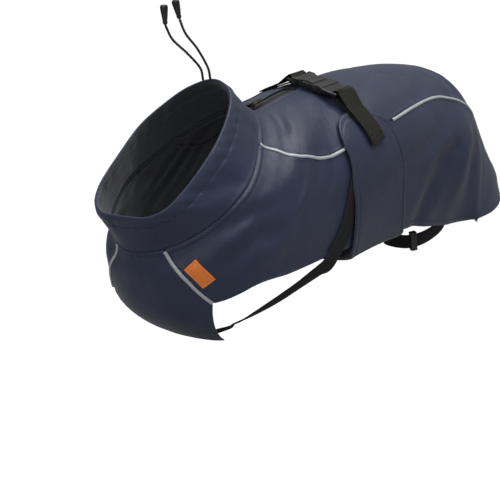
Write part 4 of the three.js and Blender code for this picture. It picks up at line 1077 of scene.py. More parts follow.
def pick(piece, test):
    """Goes into edit mode with the vertices selected whose place in millimetres passes the test."""
    make_active(piece)
    bpy.ops.object.mode_set(mode="EDIT")
    bpy.ops.mesh.select_mode(type="VERT")
    bpy.ops.mesh.select_all(action="DESELECT")
    bpy.ops.object.mode_set(mode="OBJECT")
    for v in piece.data.vertices:
        v.select = bool(test(v.co / MM))
    bpy.ops.object.mode_set(mode="EDIT")


def leave():
    """Go back from editing to the whole object."""
    bpy.ops.object.mode_set(mode="OBJECT")


def apply_modifier(piece, kind, **settings):
    """Add a modifier with its settings and apply it."""
    make_active(piece)
    modifier = piece.modifiers.new(kind.lower(), kind)
    for key, value in settings.items():
        setattr(modifier, key, value)
    bpy.ops.object.modifier_apply(modifier=modifier.name)


def combine(piece, other, operation="UNION"):
    """Joins a second piece to the first, or cuts it out of it, and removes it."""
    apply_modifier(piece, "BOOLEAN", object=other, operation=operation, solver="EXACT")
    bpy.data.objects.remove(other, do_unlink=True)


def round_edges(piece, width, segments=3, angle=30):
    """Round the sharp edges by a width in millimetres."""
    apply_modifier(piece, "BEVEL", width=width * MM, segments=segments, limit_method="ANGLE",
                   angle_limit=math.radians(angle))


def seat(piece, matrix, material, body=COAT):
    """Puts a piece made in its own frame at its place on the coat."""
    make_active(piece)
    piece.matrix_world = matrix @ piece.matrix_world
    bpy.ops.object.transform_apply(location=True, rotation=True, scale=True)
    piece.data.materials.clear()
    piece.data.materials.append(material)
    bpy.ops.object.shade_smooth_by_angle(angle=math.radians(35))
    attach(piece, body)


def frame_at(point, x_axis, up):
    """Frame at a point in millimetres: z along up, x near the given way."""
    z = Vector(up).normalized()
    y = z.cross(Vector(x_axis)).normalized()
    x = y.cross(z).normalized()
    matrix = Matrix((x, y, z)).transposed().to_4x4()
    matrix.translation = Vector(point) * MM
    return matrix


SLIDER_Y = -88.0
SLIDER_RISE = 2.0
SLIDER_LOW = ZIP_TAPE_HIGH + 0.9


def slider_frame():
    """Frame of the zip slider on the spine."""
    point, up = place(section_at_y(0.0, SLIDER_Y), 0.0)
    rear, _ = place(section_at_y(0.0, -64.0), 0.0)
    rearward = unit(rear - point)
    across = unit(np.cross(rearward, up))
    out = np.cross(across, rearward)
    return frame_at(point + out * SLIDER_RISE, across, out)


def build_zip_pull():
    """Slider with its bridge at the collar end, and the pull tab that hangs in the bridge."""
    matrix = slider_frame()
    gloss = finish_of("zip_gloss")
    body = add_block("zip_slider_body", (-4, -5.2, SLIDER_LOW), (4, 6, 0.6))
    pick(body, lambda p: p.y > 5)
    bpy.ops.transform.resize(value=(0.62, 1, 1))
    leave()
    pick(body, lambda p: p.z > 0)
    bpy.ops.mesh.inset(thickness=0.0012)
    bpy.ops.transform.translate(value=(0, 0, 0.00035))
    leave()
    round_edges(body, 0.5)
    combine(body, add_block("post_front", (-1.1, -4.5, 0.2), (1.1, -2.9, 3.0)))
    combine(body, add_block("post_rear", (-1.1, 2.9, 0.2), (1.1, 4.5, 3.0)))
    combine(body, add_block("bridge", (-1.1, -4.5, 2.6), (1.1, 4.5, 3.6)))
    round_edges(body, 0.22, 2)
    seat(body, matrix, gloss)
    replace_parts(body, "zip_slider")

    tab = add_block("zip_pull_plate", (-3, -0.6, 1.0), (3, 22, 2.2))
    pick(tab, lambda p: p.y > 21)
    bpy.ops.transform.resize(value=(0.8, 1, 1))
    leave()
    combine(tab, add_block("eye", (-1.6, 0.6, 0), (1.6, 5.4, 3.2)), "DIFFERENCE")
    combine(tab, add_rod("tip_hole", (0, 18.6, 1.6), 1.2, 4), "DIFFERENCE")
    combine(tab, add_block("recess", (-1.9, 7.4, 1.95), (1.9, 16, 3)), "DIFFERENCE")
    round_edges(tab, 0.28, 3)
    seat(tab, matrix, gloss, PULL_TAB)
    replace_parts(tab, "zip_pull_tab")


BUCKLE_CENTRE_X = 22.0
BUCKLE_Q_SECTION = 5.3
BUCKLE_BASE = 1.4
BAR_X = 26.5
BAR_Z = 5.2


def buckle_frame():
    """Frame of the buckle on the back."""
    q = float(position_at_x(BUCKLE_Q_SECTION, BUCKLE_CENTRE_X))
    point, up = place(section_at_y(q, 0.0), q)
    rear, _ = place(section_at_y(q, 10.0), q)
    return frame_at(point, np.cross(rear - point, up), up)


def build_buckle():
    """Side-release buckle: a socket with windows for the prongs, and a plug with two prongs."""
    matrix = buckle_frame()
    plastic = finish_of("moulded_plastic")
    socket = add_block("buckle_socket", (-24, -17, BUCKLE_BASE), (-12, 17, 9.4))
    pick(socket, lambda p: p.z > 9)
    bpy.ops.mesh.inset(thickness=0.0018)
    bpy.ops.transform.translate(value=(0, 0, -0.0005))
    leave()
    round_edges(socket, 1.1, 4)
    nose = add_block("nose", (-13, -12.2, BUCKLE_BASE), (-0.2, 12.2, 9.4))
    pick(nose, lambda p: p.z > 9)
    bpy.ops.mesh.inset(thickness=0.0018)
    bpy.ops.transform.translate(value=(0, 0, -0.0004))
    leave()
    round_edges(nose, 0.9, 4)
    combine(socket, nose)
    for hand in (-1, 1):
        near, far = sorted((13.1 * hand, 17 * hand))
        arm = add_block("arm", (-28.8, near, 3.6), (-23, far, 6.8))
        round_edges(arm, 0.8)
        combine(socket, arm)
        window = add_rod("window", (-11.6, 18.4 * hand, 5.4), 5.2, 12, vertices=40)
        combine(socket, window, "DIFFERENCE")
    combine(socket, add_rod("bar", (-BAR_X, 0, BAR_Z), 1.35, 28, (math.pi / 2, 0, 0)))
    combine(socket, add_block("webbing_gap", (-25, -13.1, 0), (-21.5, 13.1, 12)), "DIFFERENCE")
    round_edges(socket, 0.25, 2, 40)
    seat(socket, matrix, plastic)
    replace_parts(socket, "buckle_female")

    plug = add_block("buckle_plug", (0.2, -17, BUCKLE_BASE), (12, 17, 9))
    pick(plug, lambda p: p.z > 8)
    bpy.ops.mesh.inset(thickness=0.0018)
    bpy.ops.transform.translate(value=(0, 0, -0.0005))
    leave()
    round_edges(plug, 1.1, 4)
    for hand in (-1, 1):
        low, high = sorted((12.8 * hand, 17 * hand))
        prong = add_block("prong", (-11.2, low, 2.4), (2, high, 8.4))
        round_edges(prong, 1.0, 4)
        combine(plug, prong)
        for k in range(4):
            groove = add_rod("grip", (-9.4 + 2.2 * k, 17.45 * hand, 5.4), 0.75, 7, vertices=12)
            combine(plug, groove, "DIFFERENCE")
        low, high = sorted((13.1 * hand, 16.5 * hand))
        arm = add_block("arm", (20, low, 3.6), (28.8, high, 6.8))
        round_edges(arm, 0.8)
        combine(plug, arm)
    shoulder = add_block("shoulder", (11, -16.5, 2.6), (22, 16.5, 7.8))
    pick(shoulder, lambda p: p.x > 20)
    bpy.ops.transform.resize(value=(1, 1, 0.62))
    leave()
    round_edges(shoulder, 0.9, 4)
    combine(plug, shoulder)
    combine(plug, add_rod("waist", (6.4, 20.4, 5.2), 5.0, 14, vertices=40), "DIFFERENCE")
    combine(plug, add_rod("waist", (6.4, -20.4, 5.2), 5.0, 14, vertices=40), "DIFFERENCE")
    combine(plug, add_rod("bar", (BAR_X, 0, BAR_Z), 1.35, 28, (math.pi / 2, 0, 0)))
    round_edges(plug, 0.25, 2, 40)
    seat(plug, matrix, plastic)
    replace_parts(plug, "buckle_male")


WEBBING_THICK = 1.5
LAYER_GAP = 0.3
WEBBING_Y = ((0.1, 0), (0.24, 0), (0.37, 6))
LOWER_LAYER = BAND_HIGH + LAYER_GAP + WEBBING_THICK / 2
UPPER_LAYER = LOWER_LAYER + LAYER_GAP + WEBBING_THICK
RIGHT_UPPER_LAYER = 1.6 + LAYER_GAP + WEBBING_THICK
LOOP_RADIUS = 2.4 + WEBBING_THICK / 2
LOOP_STEPS = 6
# Lower layer from its seam on the band to the buckle: (ring position, height over the cloth).
WEBBING_LOWER = {
    1: ((0.275, LOWER_LAYER), (0.255, LOWER_LAYER), (0.235, LOWER_LAYER), (0.222, LOWER_LAYER)),
    -1: ((0.275, LOWER_LAYER), (0.25, LOWER_LAYER), (0.225, LOWER_LAYER), (0.19, 2.6), (0.16, 1.6),
         (0.13, 1.6), (0.09, 1.6), (0.055, 1.9)),
}
WEBBING_UPPER = {1: (0.218, 0.36), -1: (0.055, 0.14)}


def webbing_path(side):
    """Path of one half of the belt: on the coat, round the buckle's bar and back on top."""
    matrix = np.array(buckle_frame())
    turn = matrix[:3, :3]
    origin = matrix[:3, 3] / MM

    def on_coat(q, lift):
        point, up = place(section_at_y(q, smooth_lookup(WEBBING_Y, q)), np.array(q), np.array(lift))
        return point * np.array([side, 1, 1]), up * np.array([side, 1, 1])

    points = []
    ups = []
    for q, lift in WEBBING_LOWER[side]:
        point, up = on_coat(q, lift)
        points.append(point)
        ups.append(-up)
    for k in range(LOOP_STEPS + 1):
        angle = -np.pi / 2 - np.pi * k / LOOP_STEPS
        x = np.cos(angle)
        z = np.sin(angle)
        round_bar = np.array([side * (BAR_X + LOOP_RADIUS * x), 0, BAR_Z + LOOP_RADIUS * z])
        points.append(origin + turn @ round_bar)
        ups.append(turn @ np.array([side * x, 0, z]))
    points.append(origin + turn @ np.array([side * (BAR_X + 3.5), 0, BAR_Z + LOOP_RADIUS - 0.2]))
    ups.append(turn[:, 2])
    first, last = WEBBING_UPPER[side]
    for k in range(LOOP_STEPS + 1):
        rise = UPPER_LAYER if side > 0 else RIGHT_UPPER_LAYER
        point, up = on_coat(first + (last - first) * k / LOOP_STEPS, rise + 1.2 * max(0, 1 - k / 2))
        points.append(point)
        ups.append(up)
    return np.array(points), np.array(ups)


def ribs(pitch, deep):
    """Shape of a ribbed strip: its faces rise and sink along its length."""
    def shape(walked, offsets):
        offsets = offsets.copy()
        wave = 0.5 - 0.5 * np.cos(2 * np.pi * walked / pitch)
        offsets[..., 1] *= 1 - deep * (1 - np.sqrt(wave))
        return offsets
    return shape


def build_webbing():
    """Belt webbing: sewn to the band, up to the buckle, round its bar and back on top of itself."""
    sizes = bpy.context.scene.coat_sizes
    outline = strip_outline(sizes.webbing / MM / 2, WEBBING_THICK, 16)
    pitch = sizes.webbing_rib / MM
    for word, side in (("left", 1), ("right", -1)):
        points, ups = webbing_path(side)
        path, up = resample(points, ups, pitch / 6)
        piece = sweep(f"webbing_{word}_belt", path, up, outline, finish_of("belt_webbing"),
                      ribs(pitch, 0.34))
        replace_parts(piece, f"webbing_{word}")
    points, ups = webbing_path(1)
    path, up = resample(points, ups, 1.0)
    sew_across("stitches_webbing", path, up, 4.0, sizes.webbing / MM / 2 - 1.5, WEBBING_THICK / 2)


def sew_across(name, path, ups, before_end, half, lift):
    """Two rows of stitches across a strip near its end."""
    way = unit(np.gradient(path, axis=0))
    side = unit(np.cross(way, ups))
    up = np.cross(side, way)
    walked = lengths(path, 0)
    lines = []
    for back in (before_end, before_end + 8):
        k = int(np.argmin(np.abs(walked - (walked[-1] - back))))
        across = np.linspace(-half, half, 12)[:, None]
        lines.append((path[k] + side[k] * across + up[k] * lift, np.repeat(up[k][None], 12, axis=0)))
    sew(name, lines, "seam_thread")


CHEST_STRAP_ON_COAT = ((0.42, -34), (0.47, -45), (0.52, -59), (0.56, -76), (0.585, -88))
# Free stretch under the chest: x, y, z and the way up.
CHEST_STRAP_FREE = (
    (84.5, -96, -158, 0.8, -0.2, -0.6), (69, -106, -172, 0.6, -0.2, -0.8),
    (52, -121, -187, 0.5, -0.25, -0.85), (36, -142, -200, 0.3, -0.3, -0.9),
    (25, -164, -208, 0.15, -0.35, -0.93),
)
LEG_STRAP = (
    (80, 168, -147, 1, 0, 0), (80, 160, -157, 1, 0, -0.1), (77.5, 142, -164, 0.93, -0.3, -0.15),
    (73, 124, -168, 0.85, -0.5, -0.12), (64, 112, -170, 0.5, -0.85, -0.1), (50, 107, -169, 0, -1, -0.05),
    (36, 114, -168, -0.6, -0.8, 0), (27, 140, -166, -0.93, -0.35, 0), (23, 190, -163, -1, -0.08, 0),
    (23, 265, -158, -1, 0, 0), (25, 325, -157, -0.9, 0.3, -0.2), (28, 352, -157, -0.3, 0.7, -0.6),
)
ELASTIC_THICK = 1.4
ELASTIC_RIB = 1.7
STRAP_MIDDLE = 1.1
INSIDE = -(1.6 + LAYER_GAP + ELASTIC_THICK / 2)
LEG_SLIDER_AT = 7
LEG_PATH_STEPS = 22


# Sections and ring positions where the straps are sewn inside the flap and the tail.
STRAP_ON_FLAP = (3.7, 3.5)
STRAP_ON_FLAP_RING = 0.955
STRAP_ON_TAIL = (13.95, 13.75, 13.5)
STRAP_ON_TAIL_RING = 0.12


def free_path(rows, steps):
    """Smooth path through points that each have a way out."""
    t = np.linspace(0, 1, steps + 1) * (len(rows) - 1)
    values = np.stack([smooth_value([r[k] for r in rows], t) for k in range(6)], axis=-1)
    return values[:, :3], unit(values[:, 3:])


def chest_strap_path():
    """Path of the chest elastic, from the side panel to the flap."""
    q = np.array([r[0] for r in CHEST_STRAP_ON_COAT])
    y = np.array([r[1] for r in CHEST_STRAP_ON_COAT])
    start, start_up = place(section_at_y(q, y), q, STRAP_MIDDLE)
    free, free_up = free_path(CHEST_STRAP_FREE, 9)
    end, end_up = place(np.array(STRAP_ON_FLAP), np.full(2, STRAP_ON_FLAP_RING), INSIDE - 1.1)
    return np.concatenate([start, free, end]), np.concatenate([start_up, free_up, end_up])


def leg_strap_path():
    """Path of the leg elastic, from the hem round the leg to the tail."""
    free, free_up = free_path(LEG_STRAP, LEG_PATH_STEPS)
    end, end_up = place(np.array(STRAP_ON_TAIL), np.full(3, STRAP_ON_TAIL_RING), INSIDE - 0.9)
    return np.concatenate([free, end]), np.concatenate([free_up, end_up])


def build_elastics():
    """Elastic straps under the chest and round the hind legs."""
    sizes = bpy.context.scene.coat_sizes
    for kind, path_of, wide, flat_length in (
            ("chest", chest_strap_path, sizes.chest_strap, CHEST_STRAP_LENGTH),
            ("leg", leg_strap_path, sizes.leg_strap, LEG_STRAP_LENGTH)):
        points, ups = path_of()
        path, up = resample(points, ups, ELASTIC_RIB / 4)
        outline = strip_outline(wide / MM / 2, ELASTIC_THICK, 8)
        for word, turn in (("left", np.ones(3)), ("right", np.array([-1.0, 1, 1]))):
            name = f"{kind}_strap_{word}"
            piece = sweep(f"{name}_elastic", path * turn, up * turn, outline, finish_of("ribbed_elastic"),
                          ribs(ELASTIC_RIB, 0.22))
            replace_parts(piece, name)


def build_leg_sliders():
    """Plastic slider round each leg loop."""
    points, ups = leg_strap_path()
    way = unit(points[LEG_SLIDER_AT + 1] - points[LEG_SLIDER_AT - 1])
    side = unit(np.cross(way, ups[LEG_SLIDER_AT]))
    up = np.cross(side, way)
    for word, turn in (("left", 1), ("right", -1)):
        flip = np.array([turn, 1.0, 1.0])
        slider = add_block(f"leg_slider_{word}_frame", (-3.5, -10.4, -3), (3.5, 10.4, 3))
        combine(slider, add_block("slot", (-6, -8.5, -1.7), (6, 8.5, 1.7)), "DIFFERENCE")
        round_edges(slider, 0.7, 3)
        seat(slider, frame_at(points[LEG_SLIDER_AT] * flip, way * flip, up * flip),
             finish_of("moulded_plastic"))
        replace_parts(slider, f"leg_slider_{word}")


# Drawstring out of the neck edge at the nape: points of each cord, and the tip of its plastic end.
CORDS = {
    "left": (((-3, -147.2, 20), (-4, -150, 31), (-8, -160, 48), (-12, -172, 62), (-14, -178, 75)),
             (-15, -183, 92)),
    "right": (((-10, -148.8, 18.7), (-11, -152, 30), (-15, -166, 44), (-19, -182, 57), (-20, -191, 70)),
              (-20, -193, 88)),
}
CORD_STRANDS = 4
BRAID_PITCH = 5.0
CORD_END_RINGS = ((0.12, 2.3), (0.2, 2.05), (0.26, 2.35), (0.5, 2.9), (0.72, 3.35), (0.85, 3.6), (0.93, 3.45))
CORD_END_FOOT = 1.7
CORD_END_TOP = 3.1


def cord_path(word):
    """Path of a cord through its points, evenly spaced, with the ways up along it."""
    points = np.array(CORDS[word][0], float)
    return resample(points, np.repeat([[1.0, 0.0, 0.0]], len(points), axis=0), 0.4)


def build_drawstrings():
    """Braided drawstrings and their moulded ends."""
    radius = bpy.context.scene.coat_sizes.cord / MM
    turn = np.linspace(0, 2 * np.pi, 21)[:-1]

    def braid(walked, offsets):
        one = np.cos(CORD_STRANDS * turn + 2 * np.pi * walked / BRAID_PITCH * CORD_STRANDS)
        other = np.cos(CORD_STRANDS * turn - 2 * np.pi * walked / BRAID_PITCH * CORD_STRANDS)
        return offsets * (0.95 + 0.05 * np.maximum(one, other))[..., None]

    outline = np.stack([radius * np.cos(turn), radius * np.sin(turn)], axis=-1)
    for word in CORDS:
        path, up = cord_path(word)
        cord = sweep(f"drawstring_{word}_cord", path, up, outline, finish_of("braided_cord"), braid)
        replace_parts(cord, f"drawstring_{word}")
        end = cord_end(word, path[-1])
        length = float(lengths(path, 0)[-1])


def cord_end(word, foot):
    """Barrel on the end of a cord, wider towards its rounded tip."""
    tip = Vector(CORDS[word][1])
    way = (tip - Vector(foot)).normalized()
    start = Vector(foot) + way * 2 * LAYER_GAP
    long = (tip - start).length
    clear_selection()
    bpy.ops.mesh.primitive_circle_add(vertices=28, radius=CORD_END_FOOT * MM, fill_type="NGON")
    piece = bpy.context.active_object
    piece.name = f"cord_end_{word}_barrel"
    bpy.ops.object.mode_set(mode="EDIT")
    bpy.ops.mesh.select_all(action="SELECT")
    at, radius = 0.0, CORD_END_FOOT
    for share, wide in CORD_END_RINGS + ((1.0, CORD_END_TOP),):
        bpy.ops.mesh.extrude_region_move(TRANSFORM_OT_translate={"value": (0, 0, (share - at) * long * MM)})
        bpy.ops.transform.resize(value=(wide / radius, wide / radius, 1))
        at, radius = share, wide
    bpy.ops.mesh.inset(thickness=0.0011)
    bpy.ops.mesh.select_all(action="SELECT")
    bpy.ops.mesh.normals_make_consistent(inside=False)
    bpy.ops.object.mode_set(mode="OBJECT")
    round_edges(piece, 0.55, 3, 40)
    seat(piece, frame_at(start, Vector((1, 0, 0)), way), finish_of("moulded_plastic"))
    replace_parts(piece, f"cord_end_{word}")
    return piece


def node(tree, kind, settings=None, **inputs):
    """Adds a node. settings are its own properties; inputs are linked or given as values."""
    made = tree.nodes.new(kind)
    for key, value in (settings or {}).items():
        setattr(made, key, value)
    for key, value in inputs.items():
        socket = made.inputs[int(key[1:])] if key[0] == "n" and key[1:].isdigit() else made.inputs[key]
        if isinstance(value, bpy.types.NodeSocket):
            tree.links.new(value, socket)
        else:
            socket.default_value = value
    return made


def calculate(tree, operation, a, b=0.0):
    """Output of a math node."""
    return node(tree, "ShaderNodeMath", {"operation": operation}, n0=a, n1=b).outputs[0]


def new_group(name, inputs, outputs):
    """Node group with its named inputs and outputs; returns its tree, input node and output node."""
    tree = bpy.data.node_groups.new(name, "ShaderNodeTree")
    for label, kind, value in inputs:
        socket = tree.interface.new_socket(label, in_out="INPUT", socket_type=kind)
        if value is not None:
            socket.default_value = value
    for label, kind in outputs:
        tree.interface.new_socket(label, in_out="OUTPUT", socket_type=kind)
    return tree, tree.nodes.new("NodeGroupInput"), tree.nodes.new("NodeGroupOutput")


def use_group(tree, name, **inputs):
    """Node group in a material, with its inputs set or linked."""
    group = tree.nodes.new("ShaderNodeGroup")
    group.node_tree = bpy.data.node_groups[name]
    for key, value in inputs.items():
        socket = group.inputs[key]
        if isinstance(value, bpy.types.NodeSocket):
            tree.links.new(value, socket)
        else:
            socket.default_value = value
    return group


def make_groups():
    """Effects that several materials share."""
    tree, given, result = new_group(
        "Tone", [("Colour", "NodeSocketColor", None), ("Amount", "NodeSocketFloat", 0.15),
                 ("Scale", "NodeSocketFloat", 20.0)], [("Colour", "NodeSocketColor")])
    place_in = node(tree, "ShaderNodeTexCoord").outputs["Object"]
    broad = node(tree, "ShaderNodeTexNoise", Vector=place_in, Scale=given.outputs["Scale"], Detail=3.0)
    fine_scale = calculate(tree, "MULTIPLY", given.outputs["Scale"], 23.0)
    fine = node(tree, "ShaderNodeTexNoise", Vector=place_in, Scale=fine_scale, Detail=2.0)
    mixed = calculate(tree, "ADD", broad.outputs[0], calculate(tree, "MULTIPLY", fine.outputs[0], 0.5))
    swing = calculate(tree, "MULTIPLY", calculate(tree, "SUBTRACT", mixed, 0.75), given.outputs["Amount"])
    value = calculate(tree, "ADD", calculate(tree, "MULTIPLY", swing, 2.0), 1.0)
    toned = node(tree, "ShaderNodeHueSaturation", Color=given.outputs["Colour"], Value=value)
    tree.links.new(toned.outputs[0], result.inputs["Colour"])

    tree, given, result = new_group(
        "Weave", [("Pitch", "NodeSocketFloat", 0.0009)], [("Height", "NodeSocketFloat")])
    uv = node(tree, "ShaderNodeUVMap", {"uv_map": "cloth"}).outputs[0]
    split = node(tree, "ShaderNodeSeparateXYZ", Vector=uv)
    waves = []
    for axis in ("X", "Y"):
        turns = calculate(tree, "DIVIDE", split.outputs[axis], given.outputs["Pitch"])
        waves.append(calculate(tree, "SINE", calculate(tree, "MULTIPLY", turns, 2 * math.pi)))
    woven = calculate(tree, "MULTIPLY", waves[0], waves[1])
    tree.links.new(calculate(tree, "ADD", calculate(tree, "MULTIPLY", woven, 0.5), 0.5),
                   result.inputs["Height"])

    tree, given, result = new_group(
        "Crumple", [("Scale", "NodeSocketFloat", 60.0), ("Grain", "NodeSocketFloat", 900.0),
                    ("Grain share", "NodeSocketFloat", 0.25)], [("Height", "NodeSocketFloat")])
    place_in = node(tree, "ShaderNodeTexCoord").outputs["Object"]
    large = node(tree, "ShaderNodeTexNoise", Vector=place_in, Scale=given.outputs["Scale"], Detail=4.0,
                 Roughness=0.5, Distortion=0.4)
    grain = node(tree, "ShaderNodeTexNoise", Vector=place_in, Scale=given.outputs["Grain"], Detail=2.0)
    grain_height = calculate(tree, "MULTIPLY", grain.outputs[0], given.outputs["Grain share"])
    tree.links.new(calculate(tree, "ADD", large.outputs[0], grain_height), result.inputs["Height"])


def new_material(name, colour, roughness, tone=(0.15, 20.0), **sockets):
    """Material with an uneven base colour; returns it with its tree and shader."""
    material = bpy.data.materials.new(name)
    material.use_nodes = True
    tree = material.node_tree
    shader = next(n for n in tree.nodes if n.type == "BSDF_PRINCIPLED")
    toned = use_group(tree, "Tone", Colour=(*colour, 1.0), Amount=tone[0], Scale=tone[1])
    tree.links.new(toned.outputs["Colour"], shader.inputs["Base Color"])
    shader.inputs["Roughness"].default_value = roughness
    for key, value in sockets.items():
        shader.inputs[key.replace("_", " ")].default_value = value
    return material, tree, shader


def bump(tree, shader, heights):
    """Bump from several heights: (height, depth in metres, strength)."""
    last = None
    for height, deep, strength in heights:
        made = node(tree, "ShaderNodeBump", Height=height, Distance=deep, Strength=strength)
        if last is not None:
            tree.links.new(last.outputs[0], made.inputs["Normal"])
        last = made
    tree.links.new(last.outputs[0], shader.inputs["Normal"])


def make_materials():
    """All the materials of the coat and the floor."""
    colours = bpy.context.scene.coat_colours
    make_groups()
    for name, colour, rough, sheen, crumple in (("softshell_face", colours.shell, 0.42, 0.03, 0.6),
                                                ("softshell_reverse", colours.reverse, 0.85, 0.3, 0.8)):
        _, tree, shader = new_material(name, colour, rough, (0.16, 14.0), Sheen_Weight=sheen,
                                       Sheen_Roughness=0.45, Specular_IOR_Level=0.3)
        folds = use_group(tree, "Crumple", Scale=46.0, Grain=1500.0)
        weave = use_group(tree, "Weave", Pitch=0.0011)
        bump(tree, shader, [(folds.outputs[0], 0.0016, crumple), (weave.outputs[0], 0.00006, 0.35)])

    for name, colour in (("seam_thread", [c * 0.75 for c in colours.shell]),
                         ("label_thread", [min(c * 1.5, 1) for c in colours.leather])):
        new_material(name, colour, 0.55, (0.2, 300.0))

    _, tree, shader = new_material("piping_tape", colours.piping, 0.42, (0.12, 60.0), Specular_IOR_Level=0.6,
                                   Metallic=0.2)
    beads = use_group(tree, "Weave", Pitch=0.0006)
    folds = use_group(tree, "Crumple", Scale=260.0, Grain=2500.0)
    bump(tree, shader, [(beads.outputs[0], 0.00008, 0.5), (folds.outputs[0], 0.0004, 0.4)])

    _, tree, shader = new_material("label_hide", colours.leather, 0.48, (0.22, 55.0), Specular_IOR_Level=0.45)
    place_in = node(tree, "ShaderNodeTexCoord").outputs["Object"]
    pores = node(tree, "ShaderNodeTexVoronoi", {"feature": "DISTANCE_TO_EDGE"}, Vector=place_in, Scale=900.0)
    grain = use_group(tree, "Crumple", Scale=220.0, Grain=1800.0)
    bump(tree, shader, [(grain.outputs[0], 0.0005, 0.45), (pores.outputs[0], 0.0002, 0.4)])

    for name, colour, rough, pitch, deep in (
            ("zip_knit", colours.tape, 0.85, 0.0013, 0.0003),
            ("ribbed_elastic", colours.elastic, 0.8, 0.0009, 0.0002)):
        _, tree, shader = new_material(name, colour, rough, (0.2, 120.0), Specular_IOR_Level=0.3)
        weave = use_group(tree, "Weave", Pitch=pitch)
        bump(tree, shader, [(weave.outputs[0], deep, 0.7)])

    _, tree, shader = new_material("belt_webbing", colours.webbing, 0.72, (0.3, 160.0),
                                   Specular_IOR_Level=0.25)
    uv = node(tree, "ShaderNodeUVMap", {"uv_map": "cloth"}).outputs[0]
    split = node(tree, "ShaderNodeSeparateXYZ", Vector=uv)
    # Rib crests get the olive yarn tone and the valleys between them stay near black: partly the yarn's own
    # colour, partly painted shade that follows the ribs.
    per_metre = 2 * math.pi / bpy.context.scene.coat_sizes.webbing_rib
    turns = calculate(tree, "MULTIPLY", split.outputs["Y"], per_metre)
    rib = calculate(tree, "SINE", calculate(tree, "ADD", turns, -math.pi / 2))
    speckle = node(tree, "ShaderNodeTexNoise", Vector=uv, Scale=1300.0, Detail=2.0)
    share = node(tree, "ShaderNodeMapRange", Value=calculate(tree, "ADD", rib, speckle.outputs[0]))
    share.inputs["From Min"].default_value = 0.5
    share.inputs["From Max"].default_value = 1.6
    toned = shader.inputs["Base Color"].links[0].from_socket
    mix = node(tree, "ShaderNodeMix", {"data_type": "RGBA"})
    tree.links.new(share.outputs[0], mix.inputs["Factor"])
    tree.links.new(toned, mix.inputs["A"])
    mix.inputs["B"].default_value = (*colours.olive, 1.0)
    tree.links.new(mix.outputs["Result"], shader.inputs["Base Color"])
    weave = use_group(tree, "Weave", Pitch=0.0012)
    bump(tree, shader, [(weave.outputs[0], 0.0006, 0.9)])

    for name, colour, rough, metallic in (
            ("zip_gloss", colours.plastic, 0.2, 0.5), ("moulded_plastic", colours.plastic, 0.3, 0.0),
            ("zip_nylon", [c * 0.6 for c in colours.tape], 0.4, 0.0)):
        _, tree, shader = new_material(name, colour, rough, (0.1, 90.0), Metallic=metallic,
                                       Specular_IOR_Level=0.55)
        skin = use_group(tree, "Crumple", Scale=300.0, Grain=3000.0)
        bump(tree, shader, [(skin.outputs[0], 0.00008, 0.25)])

    _, tree, shader = new_material("braided_cord", colours.elastic, 0.7, (0.3, 700.0), Sheen_Weight=0.2)
    yarn = use_group(tree, "Crumple", Scale=1200.0, Grain=3000.0)
    bump(tree, shader, [(yarn.outputs[0], 0.0002, 0.6)])

    _, tree, shader = new_material("studio_sweep", (0.35, 0.35, 0.35), 0.9, (0.0, 1.0),
                                   Specular_IOR_Level=0.0)
    white = node(tree, "ShaderNodeEmission", Color=(1.0, 1.0, 1.0, 1.0), Strength=1.05)
    seen = node(tree, "ShaderNodeLightPath").outputs["Is Camera Ray"]
    mixed = node(tree, "ShaderNodeMixShader", n0=seen, n1=shader.outputs[0], n2=white.outputs[0])
    output = next(n for n in tree.nodes if n.type == "OUTPUT_MATERIAL")
    tree.links.new(mixed.outputs[0], output.inputs["Surface"])


def finish_of(name):
    """Material by its name."""
    return bpy.data.materials[name]


CAMERA_PLACE = (0.7582, -1.1797, 0.1447)
CAMERA_AZIMUTH = 34.78
CAMERA_PITCH = -12.14
CAMERA_LENS = 100.8
CAMERA_SENSOR = 36


def build_studio():
    """Camera, lights and a pale floor under the coat."""
    look = bpy.context.scene.studio_look
    camera_data = bpy.data.cameras.new("camera")
    camera_data.lens = CAMERA_LENS
    camera_data.sensor_width = CAMERA_SENSOR
    camera = bpy.data.objects.new("camera", camera_data)
    camera.location = CAMERA_PLACE
    camera.rotation_euler = (math.radians(90 + CAMERA_PITCH), 0, math.radians(CAMERA_AZIMUTH))
    bpy.context.scene.collection.objects.link(camera)
    bpy.context.scene.camera = camera

    for name, power, size, where, aim in (
            ("key_light", look.key, 1.3, (0.35, 0.25, 1.5), (0, 0.1, -0.1)),
            ("fill_light", look.fill, 1.2, (0.6, -1.6, 0.8), (0, 0, -0.1))):
        light = bpy.data.lights.new(name, "AREA")
        light.energy = power
        light.size = size
        lamp = bpy.data.objects.new(name, light)
        lamp.location = where
        lamp.rotation_euler = (Vector(aim) - Vector(where)).to_track_quat("-Z", "Y").to_euler()
        bpy.context.scene.collection.objects.link(lamp)

    world = bpy.data.worlds.new("studio")
    world.use_nodes = True
    background = next(n for n in world.node_tree.nodes if n.type == "BACKGROUND")
    background.inputs["Color"].default_value = (1.0, 1.0, 1.0, 1.0)
    seen = node(world.node_tree, "ShaderNodeLightPath").outputs["Is Camera Ray"]
    strength = node(world.node_tree, "ShaderNodeMapRange", Value=seen)
    strength.inputs["To Min"].default_value = look.ambient
    strength.inputs["To Max"].default_value = 1.05
    world.node_tree.links.new(strength.outputs[0], background.inputs["Strength"])
    bpy.context.scene.world = world
    bpy.context.scene.view_settings.view_transform = "Standard"

    clear_selection()
    bpy.ops.mesh.primitive_plane_add(size=10, location=(0, 0, look.floor_z))
    floor = bpy.context.active_object
    floor.name = "studio_floor"
    bpy.ops.object.transform_apply(location=True, rotation=True, scale=True)
    floor.data.materials.append(finish_of("studio_sweep"))


class RAINCOAT_OT_finishes(Operator):
    """Make the materials of the cloth, trims and fittings"""
    bl_idname = "raincoat.finishes"
    bl_label = "Finishes"

    def execute(self, context):
        make_materials()
        return {"FINISHED"}


